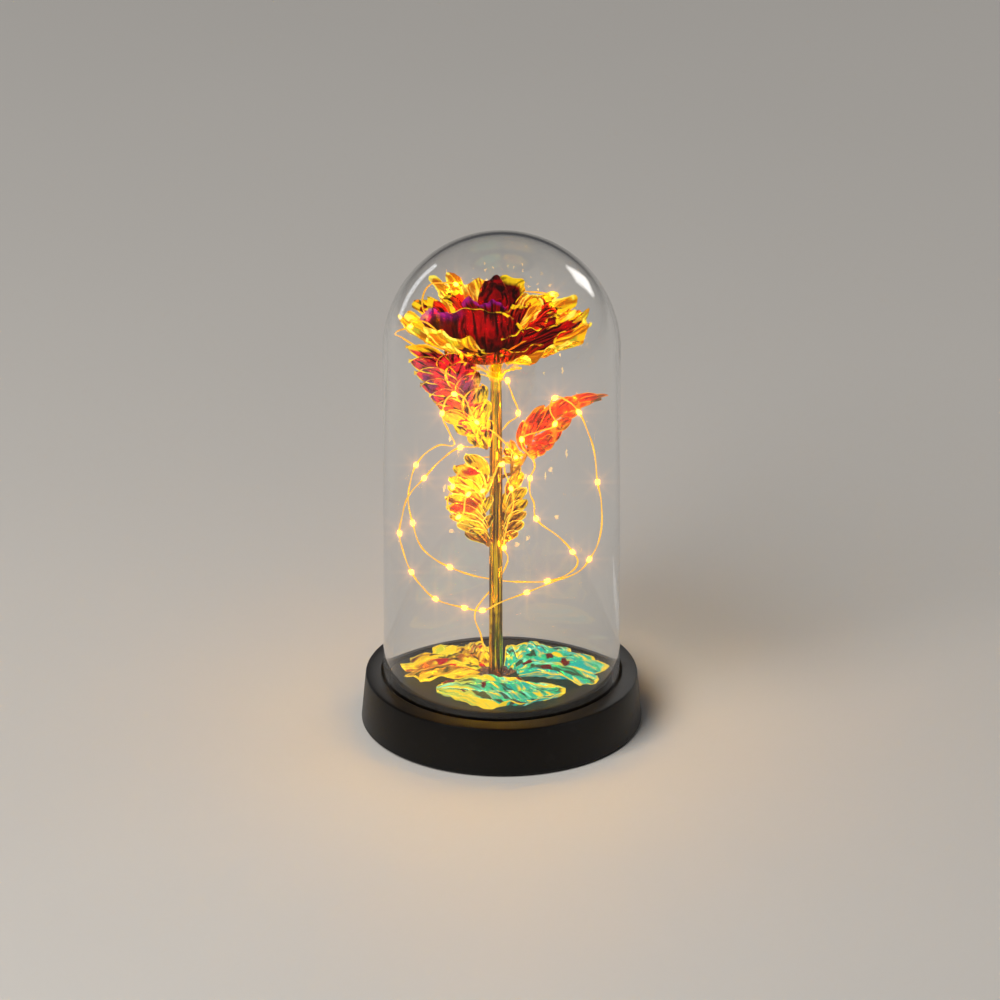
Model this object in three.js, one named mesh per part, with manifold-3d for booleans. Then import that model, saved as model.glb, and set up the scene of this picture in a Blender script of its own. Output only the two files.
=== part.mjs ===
import * as THREE from 'three';
import { mergeVertices } from 'three/addons/utils/BufferGeometryUtils.js';
import Module from 'manifold-3d';

// A foil rose with a string of lights, standing on a round base under a glass dome.
// Millimetres, +Z up, the front towards -Y, the origin in the middle of the underside.

// Round base
const BASE_RADIUS = 60;
const BASE_TOP_RADIUS = 58.1;
const BASE_FOOT = 0.8;
const RIM_HEIGHT = 21.8;
const RIM_RISE = 1;
const GROOVE_OUTER_RADIUS = 51.3;
const GROOVE_FLOOR = 18;
const PLINTH_RADIUS = 44.8;
const PLINTH_HEIGHT = 24.3;
const BASE_WALL = 2.6;
const EDGE_ROUND = 1.1;
const PLINTH_EDGE = 0.6;
const BASE_SIDES = 40;
const GAP = 0.3;

// Underside
const PLATE_RADIUS = BASE_RADIUS - BASE_WALL - 2 * GAP;
const PLATE_THICKNESS = 2.2;
const DOOR_LENGTH = 62;
const DOOR_WIDTH = 42;
const PULL_INSET = 8;
const PULL_LENGTH = 9;
const PULL_WIDTH = 14;
const PULL_DEPTH = 0.9;
const PAD_RADIUS = 5;
const PAD_SUNK = 0.8;
const PAD_CIRCLE = 44;
const PAD_COUNT = 4;
const PAD_SIDES = 12;

// Glass dome
const DOME_RADIUS = 50.6;
const DOME_WALL = 1.8;
const DOME_TOP = 224;
const DOME_SIDES = 32;
const DOME_STEPS = 6;

// Stem, a little left of the base's axis
const STEM_X = -2.4;
const STEM_RADIUS = 2.8;
const STEM_NECK_RADIUS = 2.4;
const STEM_FOOT = 15;
const STEM_TOP = 185;
const SOCKET_RADIUS = 3.2;
const SOCKET_BOSS_RADIUS = 6.5;

// Foil and its smaller pieces
const FOIL = 0.6;
const STALK_RADIUS = 0.9;
const COLLAR_INNER = 3.7;
const COLLAR_NOTCH = 6.3;
const COLLAR_TIP = 9.7;
const CALYX_INNER = 3.2;
const CALYX_NOTCH = 8;
const CALYX_TIP = 17.5;
const CALYX_LOW = 159.5;
const CALYX_RISE = 12;

// String of lights
const WIRE_DIAMETER = 0.8;
const WIRE_SIDES = 4;
const WIRE_STEP = 12;
const BEAD_HALF_LENGTH = 1.8;
const BEAD_RADIUS = 1.3;
const WIRE_HOLE = [-9, 9];
const WIRE_HOLE_RADIUS = 1.6;

const gloss = (color, metalness, roughness) =>
  new THREE.MeshStandardMaterial({ color, metalness, roughness, side: THREE.DoubleSide });

const materials = {
  blackPlastic: gloss(0x0b0a0a, 0, 0.32),
  blackRubber: gloss(0x151515, 0, 0.85),
  glass: new THREE.MeshStandardMaterial({
    color: 0xf4f7f8,
    metalness: 0,
    roughness: 0.03,
    transparent: true,
    opacity: 0.2,
  }),
  goldFoil: gloss(0xe8a81c, 1, 0.22),
  redFoil: gloss(0xa3121b, 0.85, 0.28),
  redGoldFoil: gloss(0xc9481d, 0.9, 0.26),
  tealFoil: gloss(0x1fb58c, 0.85, 0.25),
  amberFoil: gloss(0xd9952b, 0.85, 0.25),
  collarFilm: gloss(0x5b3a3c, 0.2, 0.3),
  lights: gloss(0xffc247, 0.3, 0.35),
};

const degrees = THREE.MathUtils.degToRad;
const wasm = await Module();
wasm.setup();

const part = new THREE.Group();
part.name = 'rose_in_dome';
const rose = new THREE.Group();
rose.position.x = STEM_X;
part.add(rose);

function addMesh(group, name, geometry, material) {
  const mesh = new THREE.Mesh(geometry, material);
  mesh.name = name;
  group.add(mesh);
  return mesh;
}

// A closed geometry as a solid that can be cut and joined.
function toSolid(geometry) {
  const bare = geometry.clone();
  bare.deleteAttribute('normal');
  bare.deleteAttribute('uv');
  const merged = mergeVertices(bare, 1e-4);
  return new wasm.Manifold(
    new wasm.Mesh({
      numProp: 3,
      vertProperties: merged.attributes.position.array,
      triVerts: new Uint32Array(merged.index.array),
    }),
  );
}

function toGeometry(solid) {
  const mesh = solid.getMesh();
  const geometry = new THREE.BufferGeometry();
  geometry.setAttribute('position', new THREE.BufferAttribute(mesh.vertProperties, 3));
  geometry.setIndex(new THREE.BufferAttribute(mesh.triVerts, 1));
  geometry.computeVertexNormals();
  return geometry;
}

// Radius and height pairs turned round the Z axis. The outline runs up on its outer side.
function turned(outline, sides) {
  const points = outline.map(([radius, height]) => new THREE.Vector2(radius, height));
  return new THREE.LatheGeometry(points, sides).rotateX(Math.PI / 2);
}

function rod(radius, low, high, sides, x = 0, y = 0) {
  const geometry = new THREE.CylinderGeometry(radius, radius, high - low, sides);
  return geometry.rotateX(Math.PI / 2).translate(x, y, (low + high) / 2);
}

// A round outline with a few flat sides, for a tube.
function polygon(radius, sides) {
  const corners = Array.from({ length: sides }, (_, k) => {
    const turn = (2 * Math.PI * k) / sides;
    return new THREE.Vector2(radius * Math.cos(turn), radius * Math.sin(turn));
  });
  return new THREE.Shape(corners);
}

// A thin closed sheet round the middle surface middle(u, v).
// u runs from 0 to 1 along the sheet, and v from -1 to 1 across it.
function sheet(rows, columns, thickness, middle) {
  const positions = [];
  const index = [];
  const nudge = 1e-3;
  const corner = (side, i, j) => (side * (rows + 1) + i) * (columns + 1) + j;
  for (const side of [0, 1]) {
    for (let i = 0; i <= rows; i += 1) {
      for (let j = 0; j <= columns; j += 1) {
        const u = i / rows;
        const v = (2 * j) / columns - 1;
        const along = middle(Math.min(u + nudge, 1), v).sub(middle(Math.max(u - nudge, 0), v));
        const across = middle(u, Math.min(v + nudge, 1)).sub(middle(u, Math.max(v - nudge, -1)));
        const normal = along.cross(across).normalize();
        const point = middle(u, v).addScaledVector(normal, (0.5 - side) * thickness);
        positions.push(point.x, point.y, point.z);
      }
    }
  }
  for (let i = 0; i < rows; i += 1) {
    for (let j = 0; j < columns; j += 1) {
      const shift = corner(1, 0, 0);
      const a = corner(0, i, j);
      const b = corner(0, i + 1, j);
      const c = corner(0, i + 1, j + 1);
      const d = corner(0, i, j + 1);
      index.push(a, b, c, a, c, d);
      index.push(a + shift, c + shift, b + shift, a + shift, d + shift, c + shift);
    }
  }
  const rim = [];
  for (let i = 0; i < rows; i += 1) rim.push([i, 0]);
  for (let j = 0; j < columns; j += 1) rim.push([rows, j]);
  for (let i = rows; i > 0; i -= 1) rim.push([i, columns]);
  for (let j = columns; j > 0; j -= 1) rim.push([0, j]);
  rim.forEach(([i, j], k) => {
    const [m, n] = rim[(k + 1) % rim.length];
    index.push(corner(0, m, n), corner(0, i, j), corner(1, i, j));
    index.push(corner(0, m, n), corner(1, i, j), corner(1, m, n));
  });
  const geometry = new THREE.BufferGeometry();
  geometry.setAttribute('position', new THREE.Float32BufferAttribute(positions, 3));
  geometry.setIndex(index);
  geometry.computeVertexNormals();
  return geometry;
}

// A thin closed sheet that goes all the way round the Z axis, with a hole for the stem.
function ringSheet(rows, columns, thickness, middle) {
  const positions = [];
  const index = [];
  const nudge = 1e-3;
  const corner = (side, i, j) => (side * (rows + 1) + i) * columns + (j % columns);
  for (const side of [0, 1]) {
    for (let i = 0; i <= rows; i += 1) {
      for (let j = 0; j < columns; j += 1) {
        const u = i / rows;
        const turn = (2 * Math.PI * j) / columns;
        const along = middle(Math.min(u + nudge, 1), turn).sub(middle(Math.max(u - nudge, 0), turn));
        const across = middle(u, turn + nudge).sub(middle(u, turn - nudge));
        const normal = along.cross(across).normalize();
        const point = middle(u, turn).addScaledVector(normal, (0.5 - side) * thickness);
        positions.push(point.x, point.y, point.z);
      }
    }
  }
  for (let j = 0; j < columns; j += 1) {
    for (let i = 0; i < rows; i += 1) {
      index.push(corner(0, i, j), corner(0, i + 1, j), corner(0, i + 1, j + 1));
      index.push(corner(0, i, j), corner(0, i + 1, j + 1), corner(0, i, j + 1));
      index.push(corner(1, i, j), corner(1, i + 1, j + 1), corner(1, i + 1, j));
      index.push(corner(1, i, j), corner(1, i, j + 1), corner(1, i + 1, j + 1));
    }
    index.push(corner(0, rows, j + 1), corner(0, rows, j), corner(1, rows, j));
    index.push(corner(0, rows, j + 1), corner(1, rows, j), corner(1, rows, j + 1));
    index.push(corner(0, 0, j), corner(0, 0, j + 1), corner(1, 0, j + 1));
    index.push(corner(0, 0, j), corner(1, 0, j + 1), corner(1, 0, j));
  }
  const geometry = new THREE.BufferGeometry();
  geometry.setAttribute('position', new THREE.Float32BufferAttribute(positions, 3));
  geometry.setIndex(index);
  geometry.computeVertexNormals();
  return geometry;
}

// Moulded base: tapered wall, flat rim, groove for the dome and raised plinth, open below.
function baseHousing() {
  const roof = PLINTH_HEIGHT - BASE_WALL;
  const rimInside = RIM_HEIGHT - BASE_WALL;
  const grooveWall = BASE_WALL * 0.7;
  const outline = [
    [BASE_RADIUS - BASE_WALL, BASE_FOOT],
    [BASE_RADIUS, BASE_FOOT],
    [BASE_TOP_RADIUS, RIM_HEIGHT - EDGE_ROUND],
    [BASE_TOP_RADIUS - EDGE_ROUND, RIM_HEIGHT],
    [GROOVE_OUTER_RADIUS, RIM_HEIGHT + RIM_RISE],
    [GROOVE_OUTER_RADIUS, GROOVE_FLOOR],
    [PLINTH_RADIUS, GROOVE_FLOOR],
    [PLINTH_RADIUS, PLINTH_HEIGHT - PLINTH_EDGE],
    [PLINTH_RADIUS - PLINTH_EDGE, PLINTH_HEIGHT],
    [0, PLINTH_HEIGHT],
    [0, roof],
    [PLINTH_RADIUS - grooveWall, roof],
    [PLINTH_RADIUS - grooveWall, GROOVE_FLOOR - BASE_WALL],
    [GROOVE_OUTER_RADIUS + grooveWall, GROOVE_FLOOR - BASE_WALL],
    [BASE_TOP_RADIUS - BASE_WALL, rimInside],
  ];
  // The outline closes on itself at its first point, and runs up the outer wall.
  outline.push(outline[0]);
  const boss = toSolid(rod(SOCKET_BOSS_RADIUS, STEM_FOOT - 3, roof + 0.5, 16, STEM_X));
  const socket = toSolid(rod(SOCKET_RADIUS, STEM_FOOT - GAP, PLINTH_HEIGHT + 1, 12, STEM_X));
  const wireHole = toSolid(rod(WIRE_HOLE_RADIUS, roof - 4, PLINTH_HEIGHT + 1, 10, ...WIRE_HOLE));
  const shell = toSolid(turned(outline, BASE_SIDES));
  return toGeometry(shell.add(boss).subtract(socket).subtract(wireHole));
}

// Plate pressed into the open underside, with a window for the battery door and seats for the rubber pads.
function bottomPlate() {
  const low = BASE_FOOT;
  const high = BASE_FOOT + PLATE_THICKNESS;
  const plate = toSolid(rod(PLATE_RADIUS, low, high, BASE_SIDES));
  const window = new THREE.BoxGeometry(DOOR_LENGTH, DOOR_WIDTH, 3 * PLATE_THICKNESS).translate(0, 0, low);
  let cut = plate.subtract(toSolid(window));
  for (const [x, y] of padCentres()) {
    const seat = rod(PAD_RADIUS + GAP, low - 1, low + PAD_SUNK, PAD_SIDES, x, y);
    cut = cut.subtract(toSolid(seat));
  }
  return toGeometry(cut);
}

function padCentres() {
  return Array.from({ length: PAD_COUNT }, (_, k) => {
    const turn = degrees(90 + (k * 360) / PAD_COUNT);
    return [PAD_CIRCLE * Math.cos(turn), PAD_CIRCLE * Math.sin(turn)];
  });
}

// Battery door: a panel with a finger pull, let into the window of the bottom plate.
function batteryDoor() {
  const length = DOOR_LENGTH - 2 * GAP;
  const width = DOOR_WIDTH - 2 * GAP;
  const middle = BASE_FOOT + PLATE_THICKNESS / 2;
  const panel = new THREE.BoxGeometry(length, width, PLATE_THICKNESS).translate(0, 0, middle);
  const pullX = length / 2 - PULL_INSET;
  const pull = new THREE.BoxGeometry(PULL_LENGTH, PULL_WIDTH, PULL_DEPTH * 2).translate(pullX, 0, BASE_FOOT);
  return toGeometry(toSolid(panel).subtract(toSolid(pull)));
}

// Glass dome: straight wall, half-round top and a rounded lip that stands in the groove.
function glassDome() {
  const low = GROOVE_FLOOR + GAP;
  const centre = DOME_TOP - DOME_RADIUS;
  const inner = DOME_RADIUS - DOME_WALL;
  const lip = DOME_WALL / 2;
  const middle = DOME_RADIUS - lip;
  const outline = [];
  for (let k = 0; k <= DOME_STEPS; k += 1) {
    const turn = (Math.PI / 2) * (1 - k / DOME_STEPS);
    outline.push([inner * Math.cos(turn), centre + inner * Math.sin(turn)]);
  }
  outline[0][0] = 0;
  for (let k = 0; k <= 2; k += 1) {
    const turn = Math.PI * (1 + k / 2);
    outline.push([middle + lip * Math.cos(turn), low + lip + lip * Math.sin(turn)]);
  }
  for (let k = 0; k <= DOME_STEPS; k += 1) {
    const turn = (Math.PI / 2) * (k / DOME_STEPS);
    outline.push([DOME_RADIUS * Math.cos(turn), centre + DOME_RADIUS * Math.sin(turn)]);
  }
  outline.at(-1)[0] = 0;
  return toGeometry(toSolid(turned(outline, DOME_SIDES)));
}

// Stem: a straight foil-wrapped rod that narrows below the flower and carries every petal by its root.
function stem() {
  const outline = [
    [0, STEM_FOOT],
    [STEM_RADIUS, STEM_FOOT],
    [STEM_RADIUS, 84],
    [STEM_RADIUS * 0.98, 126],
    [STEM_NECK_RADIUS, 158],
    [STEM_NECK_RADIUS, STEM_TOP],
    [0, STEM_TOP],
  ];
  return toGeometry(toSolid(turned(outline, 12)));
}

// Small collar of pointed film leaves round the foot of the stem.
function collar() {
  return ringSheet(2, 10, FOIL, (u, turn) => {
    const points = 0.5 + 0.5 * Math.cos(5 * turn);
    const reach = COLLAR_NOTCH + (COLLAR_TIP - COLLAR_NOTCH) * points;
    const radius = COLLAR_INNER + u * (reach - COLLAR_INNER);
    const height = PLINTH_HEIGHT + 1 + u * (3.2 - 3 * u + 1.6 * points);
    return new THREE.Vector3(radius * Math.cos(turn), radius * Math.sin(turn), height);
  });
}

// Calyx: five narrow sepals that flare from the neck of the stem like a trumpet.
function calyx() {
  return ringSheet(3, 20, FOIL, (u, turn) => {
    const sepal = 0.5 + 0.5 * Math.cos(5 * turn);
    const reach = CALYX_NOTCH + (CALYX_TIP - CALYX_NOTCH) * sepal;
    const radius = CALYX_INNER + (reach - CALYX_INNER) * u ** 1.8;
    const height = CALYX_LOW + CALYX_RISE * ((radius - CALYX_INNER) / (CALYX_TIP - CALYX_INNER)) ** 0.55;
    return new THREE.Vector3(radius * Math.cos(turn), radius * Math.sin(turn), height);
  });
}

// One petal of the flower. Its middle line curves from root to tip in the upright plane of its bearing.
// Its edges lie a little off that line on opposite sides, so that each petal tucks under the next one.
function petal(shape) {
  const { bearing, root, knee, tip, spread, tuck, lobes, roll, columns } = shape;
  const spine = new THREE.QuadraticBezierCurve(
    new THREE.Vector2(...root),
    new THREE.Vector2(...knee),
    new THREE.Vector2(...tip),
  );
  const rootSpread = Math.min(spread, 15);
  return sheet(4, columns, FOIL, (u, v) => {
    const rounded = u * (1 - 0.16 * v ** 4 * u) * (1 + lobes * Math.cos(2.5 * Math.PI * v) * u * u);
    const at = spine.getPoint(rounded);
    const way = spine.getTangent(Math.min(rounded, 1));
    const wide = Math.sin((Math.PI / 2) * Math.min(1, u / 0.75)) * (1 - 0.12 * Math.max(0, u - 0.75) * 4);
    const turn = degrees(bearing + v * (rootSpread + (spread - rootSpread) * wide));
    const aside = tuck * v * Math.min(1, 2 * u) - roll * (Math.max(0, u - 0.6) / 0.4) ** 2;
    const radius = at.x - way.y * aside;
    const height = at.y + way.x * aside;
    return new THREE.Vector3(radius * Math.cos(turn), radius * Math.sin(turn), height);
  });
}

// Rows of petals from the outside in. Radius and height pairs give each row's root, knee and tip.
const outerRow = {
  name: 'outer_petal',
  count: 8,
  first: -100,
  root: [3.4, 169],
  knee: [20, 176.5],
  tip: [41, 186],
  spread: 24,
  tuck: 0.9,
  lobes: 0.03,
  roll: 1.2,
  columns: 5,
  material: materials.goldFoil,
};
const secondRow = {
  name: 'second_petal',
  count: 7,
  first: -78,
  root: [3.4, 171.6],
  knee: [18, 179.5],
  tip: [36.5, 190.5],
  spread: 27,
  tuck: 0.9,
  lobes: 0.03,
  roll: 1,
  columns: 5,
  material: materials.redGoldFoil,
};
const cupRow = {
  name: 'cup_petal',
  count: 6,
  first: -112,
  root: [3.4, 175.2],
  knee: [19, 184],
  tip: [27.5, 197],
  spread: 36,
  tuck: 2.3,
  lobes: 0.025,
  roll: 1,
  columns: 5,
  material: materials.redFoil,
};
const innerRow = {
  name: 'inner_petal',
  count: 5,
  first: -60,
  root: [3.4, 179],
  knee: [14, 186],
  tip: [17.5, 195.5],
  spread: 42,
  tuck: 0.9,
  lobes: 0.02,
  roll: 0.8,
  columns: 4,
  material: materials.redFoil,
};
const budRow = {
  name: 'bud_petal',
  count: 3,
  first: -90,
  root: [3.4, 183.5],
  knee: [9.5, 188],
  tip: [8.4, 204],
  spread: 68,
  tuck: 0.8,
  lobes: 0.02,
  roll: 0.4,
  columns: 4,
  material: materials.redGoldFoil,
};
// Petals that differ from the rest of their row: a tall broad one in front, and lower ones at the back.
const singular = {
  cup_petal_1: { tip: [27.5, 202.5], spread: 46 },
  cup_petal_3: { tip: [27.5, 193] },
  cup_petal_4: { tip: [27.5, 193] },
  cup_petal_5: { tip: [27.5, 198] },
  cup_petal_6: { tip: [27.5, 199] },
};

function petals(row) {
  for (let k = 0; k < row.count; k += 1) {
    const name = `${row.name}_${k + 1}`;
    const shape = { ...row, bearing: row.first + (k * 360) / row.count, ...singular[name] };
    addMesh(rose, name, petal(shape), row.material);
  }
}

// Closed heart of the flower, rolled tight.
function heart() {
  const outline = [
    [0, STEM_TOP + 0.6],
    [2.6, STEM_TOP + 2],
    [4.3, 192],
    [4.5, 198],
    [3.4, 204],
    [1.6, 208],
    [0, 208.6],
  ];
  return toGeometry(toSolid(turned(outline, 8)));
}

// A leaf blade on its stalk. root, bend and tip give its midrib, face the way that its upper side looks.
function leaf({ stalk, root, bend, tip, face, half, cup, folds }) {
  const rib = new THREE.QuadraticBezierCurve3(
    new THREE.Vector3(...root),
    new THREE.Vector3(...bend),
    new THREE.Vector3(...tip),
  );
  const outward = new THREE.Vector3(...face).normalize();
  const blade = sheet(6, 4, FOIL, (u, v) => {
    const across = rib.getTangent(u).cross(outward).normalize();
    const wide = half * Math.sin(Math.PI * (0.06 + 0.9 * u ** 0.85)) + 0.2;
    const raised = cup * v * v * Math.sin(Math.PI * u) + folds * Math.abs(v) * Math.cos(6 * Math.PI * u);
    return rib.getPoint(u).addScaledVector(across, wide * v).addScaledVector(outward, raised);
  });
  const path = new THREE.QuadraticBezierCurve3(
    new THREE.Vector3(...stalk[0]),
    new THREE.Vector3(...stalk[1]),
    rib.getPoint(0.12),
  );
  const tube = new THREE.ExtrudeGeometry(polygon(STALK_RADIUS, 6), { steps: 3, extrudePath: path });
  return toGeometry(toSolid(blade).add(toSolid(tube)));
}

const leaves = {
  leaf_upper_left: {
    stalk: [[-6.6, -0.6, 128.5], [-7, -2, 131]],
    root: [-8, -3.5, 134],
    bend: [-19, -9, 154],
    tip: [-39.5, -7.5, 176.5],
    face: [-0.15, -0.85, 0.45],
    half: 11.5,
    cup: 2.5,
    folds: 0.5,
  },
  leaf_right: {
    stalk: [[2, -0.6, 109.5], [4, -1.5, 115]],
    root: [7, -2.5, 120.5],
    bend: [15.5, -7, 150],
    tip: [41.3, -5.5, 153.5],
    face: [-0.1, -0.85, 0.5],
    half: 8,
    cup: 2,
    folds: 0.4,
  },
  leaf_lower_left: {
    stalk: [[-6.8, -1.6, 86], [-7.2, -3, 87.5]],
    root: [-8, -4.5, 88],
    bend: [-20, -9, 99],
    tip: [-13, -7, 121],
    face: [-0.1, -0.95, 0.2],
    half: 10.5,
    cup: 1.5,
    folds: 0.5,
  },
  leaf_lower_right: {
    stalk: [[2, -0.4, 86.5], [3, -0.4, 88.5]],
    root: [4, -0.2, 90.5],
    bend: [9.5, 0.5, 99],
    tip: [7.5, 0.5, 116],
    face: [0.1, -0.95, 0.2],
    half: 5,
    cup: 1,
    folds: 0.4,
  },
  leaf_bract: {
    stalk: [[0, 4.2, 113], [2, 3.8, 114.5]],
    root: [4.4, 2.8, 116],
    bend: [7, 2.4, 120],
    tip: [5, 1.8, 126],
    face: [0.1, -0.95, 0.2],
    half: 3.6,
    cup: 0.8,
    folds: 0.3,
  },
};

// A broad crumpled petal that lies on the plinth, with folds that fan out from its root by the stem.
function fallenPetal({ bearing, half, near, far, folds, lift }) {
  return sheet(4, 10, FOIL, (u, v) => {
    const edge = far * (1 - 0.12 * v * v + 0.03 * Math.cos(5 * Math.PI * v));
    const radius = near + (edge - near) * u;
    const turn = degrees(bearing + v * half * (0.7 + 0.3 * Math.sin((Math.PI / 2) * u)));
    const fold = 0.5 + 0.5 * Math.cos(folds * Math.PI * v + 1.2 * u);
    const height = PLINTH_HEIGHT + 0.7 + lift * Math.sin(Math.PI * (0.15 + 0.75 * u)) * fold;
    return new THREE.Vector3(radius * Math.cos(turn), radius * Math.sin(turn), height);
  });
}

const fallen = {
  fallen_petal_left: { bearing: 148, half: 50, near: 14, far: 40, folds: 4, lift: 3.6 },
  fallen_petal_right: { bearing: 31, half: 55, near: 9.5, far: 40.5, folds: 5, lift: 3.6 },
  fallen_petal_front: { bearing: -90, half: 41, near: 12, far: 41.5, folds: 4, lift: 3.2 },
};

// Route of the string of lights: out of its hole, up behind the stem, over the leaves, round in two loops
// and over the rim of the flower into its cup. The last number is 1 where a bead sits.
const stringRoute = [
  [-9, 9, 20, 0],
  [-9, 9, 27, 0],
  [-7.5, 8, 33, 0],
  [-8.5, 6, 41, 0],
  [-11, 3, 52.5, 0],
  [-8, 5, 57.5, 0],
  [-2.5, 5, 64.5, 0],
  [1.6, 3.8, 73, 0],
  [2.6, 0, 79, 0],
  [1, -4.2, 85, 1],
  [2.5, -5, 96.5, 0],
  [5, -6, 105.5, 0],
  [4, -7, 113, 1],
  [1.5, -7, 120, 0],
  [0, -7, 124, 1],
  [-3.5, -7.5, 118.5, 0],
  [-8, -9.5, 113, 1],
  [-14, -13, 113, 1],
  [-18, -14, 103, 1],
  [-22.5, -13, 107.5, 0],
  [-20.5, -12, 116, 1],
  [-17, -8, 122.5, 0],
  [-12, -1, 124, 0],
  [-6.5, 5, 122, 0],
  [-0.5, 6, 122, 0],
  [2.2, 3.5, 129, 0],
  [3.2, -3, 130.5, 0],
  [6, -7.5, 127.5, 1],
  [2.5, -7, 132.5, 0],
  [-4, -6, 138.5, 0],
  [-10.5, -9, 144, 1],
  [-20, -13, 158.5, 1],
  [-25, -13, 150, 1],
  [-22, -13, 141, 0],
  [-20, -9, 134, 0],
  [-27, 1, 129, 0],
  [-36, 10, 116.5, 1],
  [-38.5, 12, 106.5, 0],
  [-39, 12, 100, 0],
  [-37, 12, 89.5, 1],
  [-33.5, 12, 79, 0],
  [-27.5, 12, 73, 0],
  [-21.5, 11, 70, 1],
  [-13.5, 9, 67.5, 0],
  [-5.5, 8, 66, 0],
  [0.5, 8, 65, 0],
  [10, 8, 64.5, 0],
  [19, 9, 64.5, 1],
  [27, 10, 67, 0],
  [31.5, 9, 72.5, 0],
  [29.5, 7, 78.5, 1],
  [24.5, 5, 85.5, 0],
  [14.5, 1, 96, 1],
  [13.5, -3, 105, 0],
  [12, -4.5, 109.5, 0],
  [12, -6.5, 117.5, 1],
  [14, -9.5, 125, 0],
  [8.5, -12, 137.5, 1],
  [15.5, -13, 141.5, 0],
  [22.5, -14, 145.5, 1],
  [20.5, -14, 152, 0],
  [22.5, -12, 156.5, 1],
  [28, -12, 155, 0],
  [32.5, -13, 150.5, 1],
  [36, -14, 142.5, 0],
  [38.5, -15, 134.5, 0],
  [40, -16, 119.5, 1],
  [41.5, -16, 110, 0],
  [40.5, -16, 92.5, 0],
  [36.5, -15, 83.5, 1],
  [32.5, -14, 78, 0],
  [21.5, -12, 72.5, 0],
  [10.5, -9, 66.5, 1],
  [0, -6, 61, 0],
  [-8, -7, 57.5, 1],
  [-15.5, -9, 59.5, 1],
  [-27.5, -12, 64.5, 1],
  [-33, -14, 70.5, 0],
  [-37.5, -15, 77.5, 1],
  [-41, -16, 87.5, 0],
  [-42.5, -16, 95.5, 1],
  [-41.5, -15, 102.5, 0],
  [-39, -13, 111.5, 0],
  [-32.5, -10, 119, 1],
  [-25.5, -7, 126, 0],
  [-17.5, -2, 129.5, 1],
  [-11.5, 1, 128.5, 0],
  [-7, 5, 129, 0],
  [-0.5, 6, 133, 0],
  [2.5, 4, 137.5, 0],
  [7, -2, 145, 1],
  [4.5, -3, 153.5, 0],
  [2.5, -4, 160.5, 1],
  [3, 1, 158.5, 0],
  [-2, 5.2, 157, 0],
  [-8, 3, 160, 0],
  [-13.5, -2.5, 163.5, 1],
  [-24, -2, 168.5, 0],
  [-34, -2.5, 174.5, 0],
  [-42, -3, 180, 0],
  [-44, -9, 185.5, 0],
  [-38.5, -8, 187.5, 1],
  [-37.5, -11.5, 191.5, 0],
  [-32.5, -14, 192.5, 0],
  [-26.4, -15, 188.6, 1],
  [-30, -9, 190.5, 0],
  [-33.5, -2, 194.5, 0],
  [-31, 5, 200.5, 0],
  [-25, 10.5, 199.5, 0],
  [-19.5, 14, 197.4, 1],
  [-16.1, 15.5, 193.4, 1],
  [-9.7, 20, 193.1, 1],
  [-1, 21.5, 191.5, 0],
  [9, 20, 191.5, 0],
  [16.5, 15, 193, 0],
  [21.6, 8, 195.4, 1],
  [22.5, 5.5, 196.5, 0],
];

// Stops along the route: its own points, more where these lie far apart, and one on each side of a bead.
function stopsAlong(corners) {
  const places = corners.map(([x, y, z]) => new THREE.Vector3(x, y, z));
  const smooth = new THREE.CatmullRomCurve3(places, false, 'centripetal');
  const last = corners.length - 1;
  const stops = [];
  const add = (at, bead) => {
    stops.push({ bead, point: smooth.getPoint(at / last), way: smooth.getTangent(at / last) });
  };
  for (let k = 0; k <= last; k += 1) {
    const bead = corners[k][3] === 1;
    if (k > 0) {
      const reach = places[k].distanceTo(places[k - 1]);
      const pieces = Math.max(1, Math.round(reach / WIRE_STEP));
      for (let n = 1; n < pieces; n += 1) add(k - 1 + n / pieces, false);
      if (bead) add(k - BEAD_HALF_LENGTH / reach, false);
    }
    add(k, bead);
    if (bead) add(k + BEAD_HALF_LENGTH / places[k].distanceTo(places[k + 1]), false);
  }
  return stops;
}

// A path whose evenly spaced points are the stops, so that the tube has one ring of corners at each.
class StopPath extends THREE.Curve {
  constructor(stops) {
    super();
    this.stops = stops;
  }

  nearest(t) {
    return this.stops[Math.round(t * (this.stops.length - 1))];
  }

  getPointAt(t) {
    return this.nearest(t).point.clone();
  }

  getTangentAt(t) {
    return this.nearest(t).way.clone();
  }
}

// The wire is a thin tube through the stops, swollen into a drop of resin at each bead.
function lightString() {
  const path = new StopPath(stopsAlong(stringRoute));
  const steps = path.stops.length - 1;
  const wireRadius = WIRE_DIAMETER / 2;
  const tube = new THREE.ExtrudeGeometry(polygon(wireRadius, WIRE_SIDES), { steps, extrudePath: path });
  const beads = path.stops.filter((stop) => stop.bead).map((stop) => stop.point);
  const corners = tube.attributes.position;
  const corner = new THREE.Vector3();
  for (let k = 0; k < corners.count; k += 1) {
    corner.fromBufferAttribute(corners, k);
    const bead = beads.find((point) => point.distanceTo(corner) < wireRadius * 1.1);
    if (bead) {
      corner.sub(bead).setLength(BEAD_RADIUS).add(bead);
      corners.setXYZ(k, corner.x, corner.y, corner.z);
    }
  }
  return toGeometry(toSolid(tube));
}

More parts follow.
